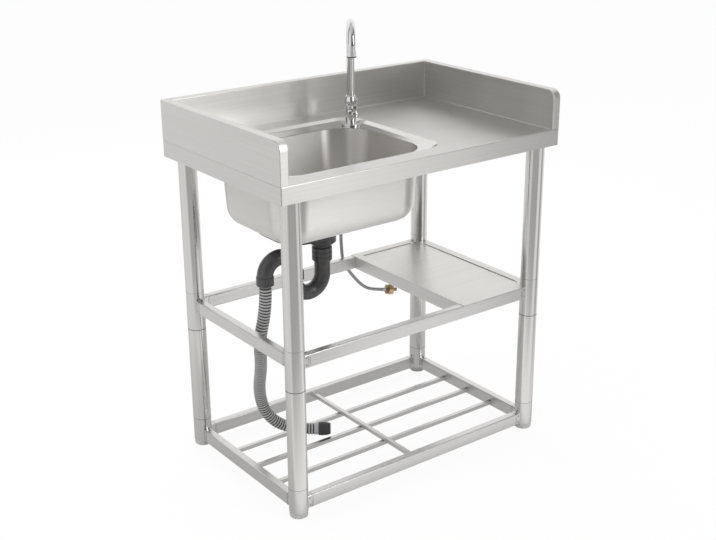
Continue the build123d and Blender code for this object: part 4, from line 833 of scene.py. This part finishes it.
def make_sleeve(finishes):
    """The rubber sleeve on the waste hose: two grip rings, a rounded nose and an open socket."""
    length = SLEEVE_LENGTH
    profile = [
        (SLEEVE_BORE, 0.0),
        (SLEEVE_ROOT_RADIUS - 0.0015, 0.0),
        (SLEEVE_ROOT_RADIUS - 0.0004, 0.0004),
        (SLEEVE_ROOT_RADIUS, 0.0015),
    ]
    grown = SLEEVE_RADIUS - SLEEVE_ROOT_RADIUS
    for middle in SLEEVE_RINGS:
        for offset, rise in ((-0.0022, 0.0), (-0.0012, 0.0006), (0.0012, 0.0006), (0.0022, 0.0)):
            height = middle + offset
            profile.append((SLEEVE_ROOT_RADIUS + grown * height / SLEEVE_SWELL + rise, height))
    profile += [
        (SLEEVE_RADIUS, 0.0145),
        (SLEEVE_RADIUS - 0.0004, 0.0200),
        (SLEEVE_RADIUS - 0.0012, 0.0245),
        (SLEEVE_RADIUS - 0.0021, 0.0277),
        (SLEEVE_RADIUS - 0.0027, 0.0293),
        (SLEEVE_RADIUS - 0.0033, 0.0304),
        (SLEEVE_RADIUS - 0.0038, length),
        (SLEEVE_SOCKET, length),
        (SLEEVE_SOCKET, length - SLEEVE_SOCKET_DEPTH),
        (SLEEVE_BORE, length - SLEEVE_SOCKET_DEPTH),
    ]
    bm = bmesh.new()
    way = Vector(DRAIN_HOSE_ROUTE[-1]) - Vector(DRAIN_HOSE_ROUTE[-2])
    add_spun(bm, profile, standing(DRAIN_HOSE_ROUTE[-1], way), steps=64)
    sleeve = piece("rubber_sleeve", bm, "base", finishes["rubber"], 35.0)
    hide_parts("hose_end")
    return sleeve


def make_soft_copy(name, node, offset, material):
    """A softer-edged copy of a CAD solid, in its place."""
    bm = bmesh.new()
    bm.from_mesh(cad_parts[node].data)
    bmesh.ops.remove_doubles(bm, verts=bm.verts, dist=1e-5)
    bmesh.ops.dissolve_limit(
        bm, angle_limit=math.radians(1.0), use_dissolve_boundaries=False, verts=bm.verts, edges=bm.edges
    )
    inner = [edge for edge in bm.edges if len(edge.link_faces) == 2]
    sharp = [edge for edge in inner if edge.calc_face_angle() > math.radians(50)]
    bmesh.ops.bevel(
        bm, geom=sharp, offset=offset, offset_type="OFFSET", segments=3, profile=0.5, affect="EDGES",
        material=-1, clamp_overlap=True,
    )
    bmesh.ops.recalc_face_normals(bm, faces=bm.faces)
    soft = piece(name, bm, "base", material, 40.0)
    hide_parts(node)


# ---------------------------------------------------------------- finishes on the frame's nodes


def finish_of(node):
    """The name of the finish that a CAD node takes."""
    if node in ("left_splash", "right_splash", "back_splash", "shelf"):
        return "sheet"
    if node == "worktop":
        return "worktop"
    if node == "sink_bowl":
        return "pressed"
    if node in ("drain_flange", "strainer_basket", "drain_screw"):
        return "drain"
    if "_rail_" in node or node == "lower_rack":
        return "rail"
    if node.endswith("_tube"):
        return "tube"
    if node.endswith("_joint"):
        return "joint"
    if node.endswith("_foot"):
        return "foot"
    if node in ("faucet_shank", "faucet_nut", "supply_top_fitting", "supply_nut", "valve_cartridge"):
        return "brass"
    if node.startswith("faucet_") and node != "faucet_washer" or node == "spout_aerator":
        return "chrome"
    if node == "supply_tail":
        return "tail"
    if node in ("drain_body", "coupling_nut", "trap_u_bend", "trap_nut", "trap_return_bend"):
        return "trap"
    return {"drain_hose": "hose", "supply_hose": "braid"}.get(node, "rubber")


def finish_nodes(finishes):
    """Gives every CAD node its finish."""
    for name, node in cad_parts.items():
        material = finishes[finish_of(name)]
        if node.material_slots:
            for holder in node.material_slots:
                holder.material = material
        else:
            node.data.materials.append(material)


# ---------------------------------------------------------------- stage


def tone_by_bearing(nodes, way, dim, sides):
    """A grey that changes with the bearing of a direction."""
    flat = nodes.stretch(way, (1.0, 1.0, 0.0))
    level = nodes.add("ShaderNodeVectorMath", operation="NORMALIZE")
    nodes.join(flat, level.inputs[0])
    tone = grey(dim)
    for bearing, half_width, fade, bright in sides:
        toward = nodes.add("ShaderNodeVectorMath", operation="DOT_PRODUCT")
        nodes.join(level.outputs[0], toward.inputs[0])
        angle = math.radians(bearing)
        toward.inputs[1].default_value = (math.cos(angle), math.sin(angle), 0.0)
        outer = math.cos(math.radians(half_width + fade))
        inner = math.cos(math.radians(half_width))
        tone = nodes.mix(nodes.span(toward.outputs["Value"], outer, inner), tone, grey(bright))
    return tone


def make_floor():
    """A wide pale floor: white to the camera with a soft shadow, with bright and dim sides in the metal."""
    bm = bmesh.new()
    bmesh.ops.create_grid(bm, x_segments=1, y_segments=1, size=30.0)
    mesh = bpy.data.meshes.new("floor")
    bm.to_mesh(mesh)
    bm.free()
    floor = bpy.data.objects.new("floor", mesh)
    bpy.context.scene.collection.objects.link(floor)
    material, nodes, shader = new_material("floor")
    shader.inputs["Base Color"].default_value = grey(0.9)
    shader.inputs["Roughness"].default_value = 0.9
    output = nodes.tree.nodes["Material Output"]
    place = nodes.add("ShaderNodeTexCoord").outputs["Object"]
    away = nodes.add("ShaderNodeVectorMath", operation="LENGTH")
    nodes.join(place, away.inputs[0])
    far = nodes.span(away.outputs["Value"], *FLOOR_NEAR_SPAN)
    sides = tone_by_bearing(nodes, place, FLOOR_DIM, FLOOR_SIDES)
    parts = nodes.add("ShaderNodeSeparateXYZ")
    nodes.join(place, parts.inputs[0])
    shaded = nodes.span(parts.outputs["Y"], *FLOOR_FRONT_SPAN)
    near = nodes.mix(shaded, grey(FLOOR_FRONT_TONE), grey(FLOOR_SHADED_TONE))
    mirrored = nodes.mix(far, near, sides)
    path = nodes.add("ShaderNodeLightPath")
    tone = nodes.mix(path.outputs["Is Glossy Ray"], grey(1.0), mirrored)
    glow = nodes.add("ShaderNodeEmission")
    nodes.join(tone, glow.inputs["Color"])
    seen = nodes.math("MAXIMUM", path.outputs["Is Camera Ray"], path.outputs["Is Glossy Ray"])
    seen = nodes.math("MAXIMUM", seen, path.outputs["Is Transmission Ray"])
    share = nodes.math("MULTIPLY", seen, FLOOR_GLOW_SHARE)
    blend = nodes.add("ShaderNodeMixShader")
    nodes.join(share, blend.inputs[0])
    nodes.join(shader.outputs[0], blend.inputs[1])
    nodes.join(glow.outputs[0], blend.inputs[2])
    nodes.join(blend.outputs[0], output.inputs["Surface"])
    mesh.materials.append(material)


def make_world():
    """A plain white surround to the camera, and a soft studio with bright and dim sides to the metal."""
    world = bpy.data.worlds.new("studio")
    bpy.context.scene.world = world
    world.use_nodes = True
    nodes = Nodes(world.node_tree)
    background = world.node_tree.nodes["Background"]
    path = nodes.add("ShaderNodeLightPath")
    way = nodes.add("ShaderNodeTexCoord").outputs["Generated"]
    studio = tone_by_bearing(nodes, way, STUDIO_DIM, STUDIO_SIDES)
    height = nodes.add("ShaderNodeSeparateXYZ")
    nodes.join(way, height.inputs[0])
    overhead = nodes.span(height.outputs["Z"], *OVERHEAD_SPAN)
    studio = nodes.mix(overhead, studio, grey(OVERHEAD_TONE))
    lit = nodes.mix(path.outputs["Is Glossy Ray"], grey(ROOM_TONE), studio)
    seen = nodes.math("MAXIMUM", path.outputs["Is Camera Ray"], path.outputs["Is Transmission Ray"])
    nodes.join(nodes.mix(seen, lit, grey(1.0)), background.inputs["Color"])
    background.inputs["Strength"].default_value = 1.0


def make_lamp(name, place, aim, width, height, power, mirrored):
    """A soft lamp that looks at a point; the metal mirrors it only where that is asked for."""
    data = bpy.data.lights.new(name, "AREA")
    data.shape = "RECTANGLE"
    data.size = width
    data.size_y = height
    data.energy = power
    lamp = bpy.data.objects.new(name, data)
    bpy.context.scene.collection.objects.link(lamp)
    lamp.location = place
    lamp.rotation_euler = (Vector(aim) - Vector(place)).to_track_quat("-Z", "Y").to_euler()
    lamp.visible_camera = False
    lamp.visible_glossy = mirrored


def make_stage():
    """Floor, surround and lamps."""
    make_floor()
    make_world()
    make_lamp("back_lamp", (0.6, 2.4, 2.2), (0, 0, 0.7), 1.8, 1.8, 34, False)
    make_lamp("side_lamp", (-2.2, 0.4, 2.2), (0, 0, 0.5), 1.6, 1.6, 14, False)
    angle = math.radians(SOFTBOX_BEARING)
    place = (SOFTBOX_DISTANCE * math.cos(angle), SOFTBOX_DISTANCE * math.sin(angle), SOFTBOX_LEVEL)
    make_lamp("front_softbox", place, (0, 0, 0.9), 0.81, 2.0, 19.0, True)


# ---------------------------------------------------------------- the unit


def main():
    """Dresses the unit."""
    make_camera()
    finishes = make_materials()
    make_drain_hose(finishes, make_sleeve(finishes))
    make_ferrule("upper_ferrule", SUPPLY_HOSE_ROUTE, False, finishes)
    make_supply_hose(finishes, make_ferrule("lower_ferrule", SUPPLY_HOSE_ROUTE, True, finishes))
    make_leg_details(finishes)
    make_welds(finishes)
    make_tap_details(finishes)
    make_soft_copy("soft_sound_pad", "sound_pad", 0.0015, finishes["rubber"])
    make_soft_copy("soft_drain_gasket", "drain_gasket", 0.0004, finishes["rubber"])
    finish_nodes(finishes)
    make_stage()
    bpy.context.scene.view_settings.view_transform = "Standard"


main()
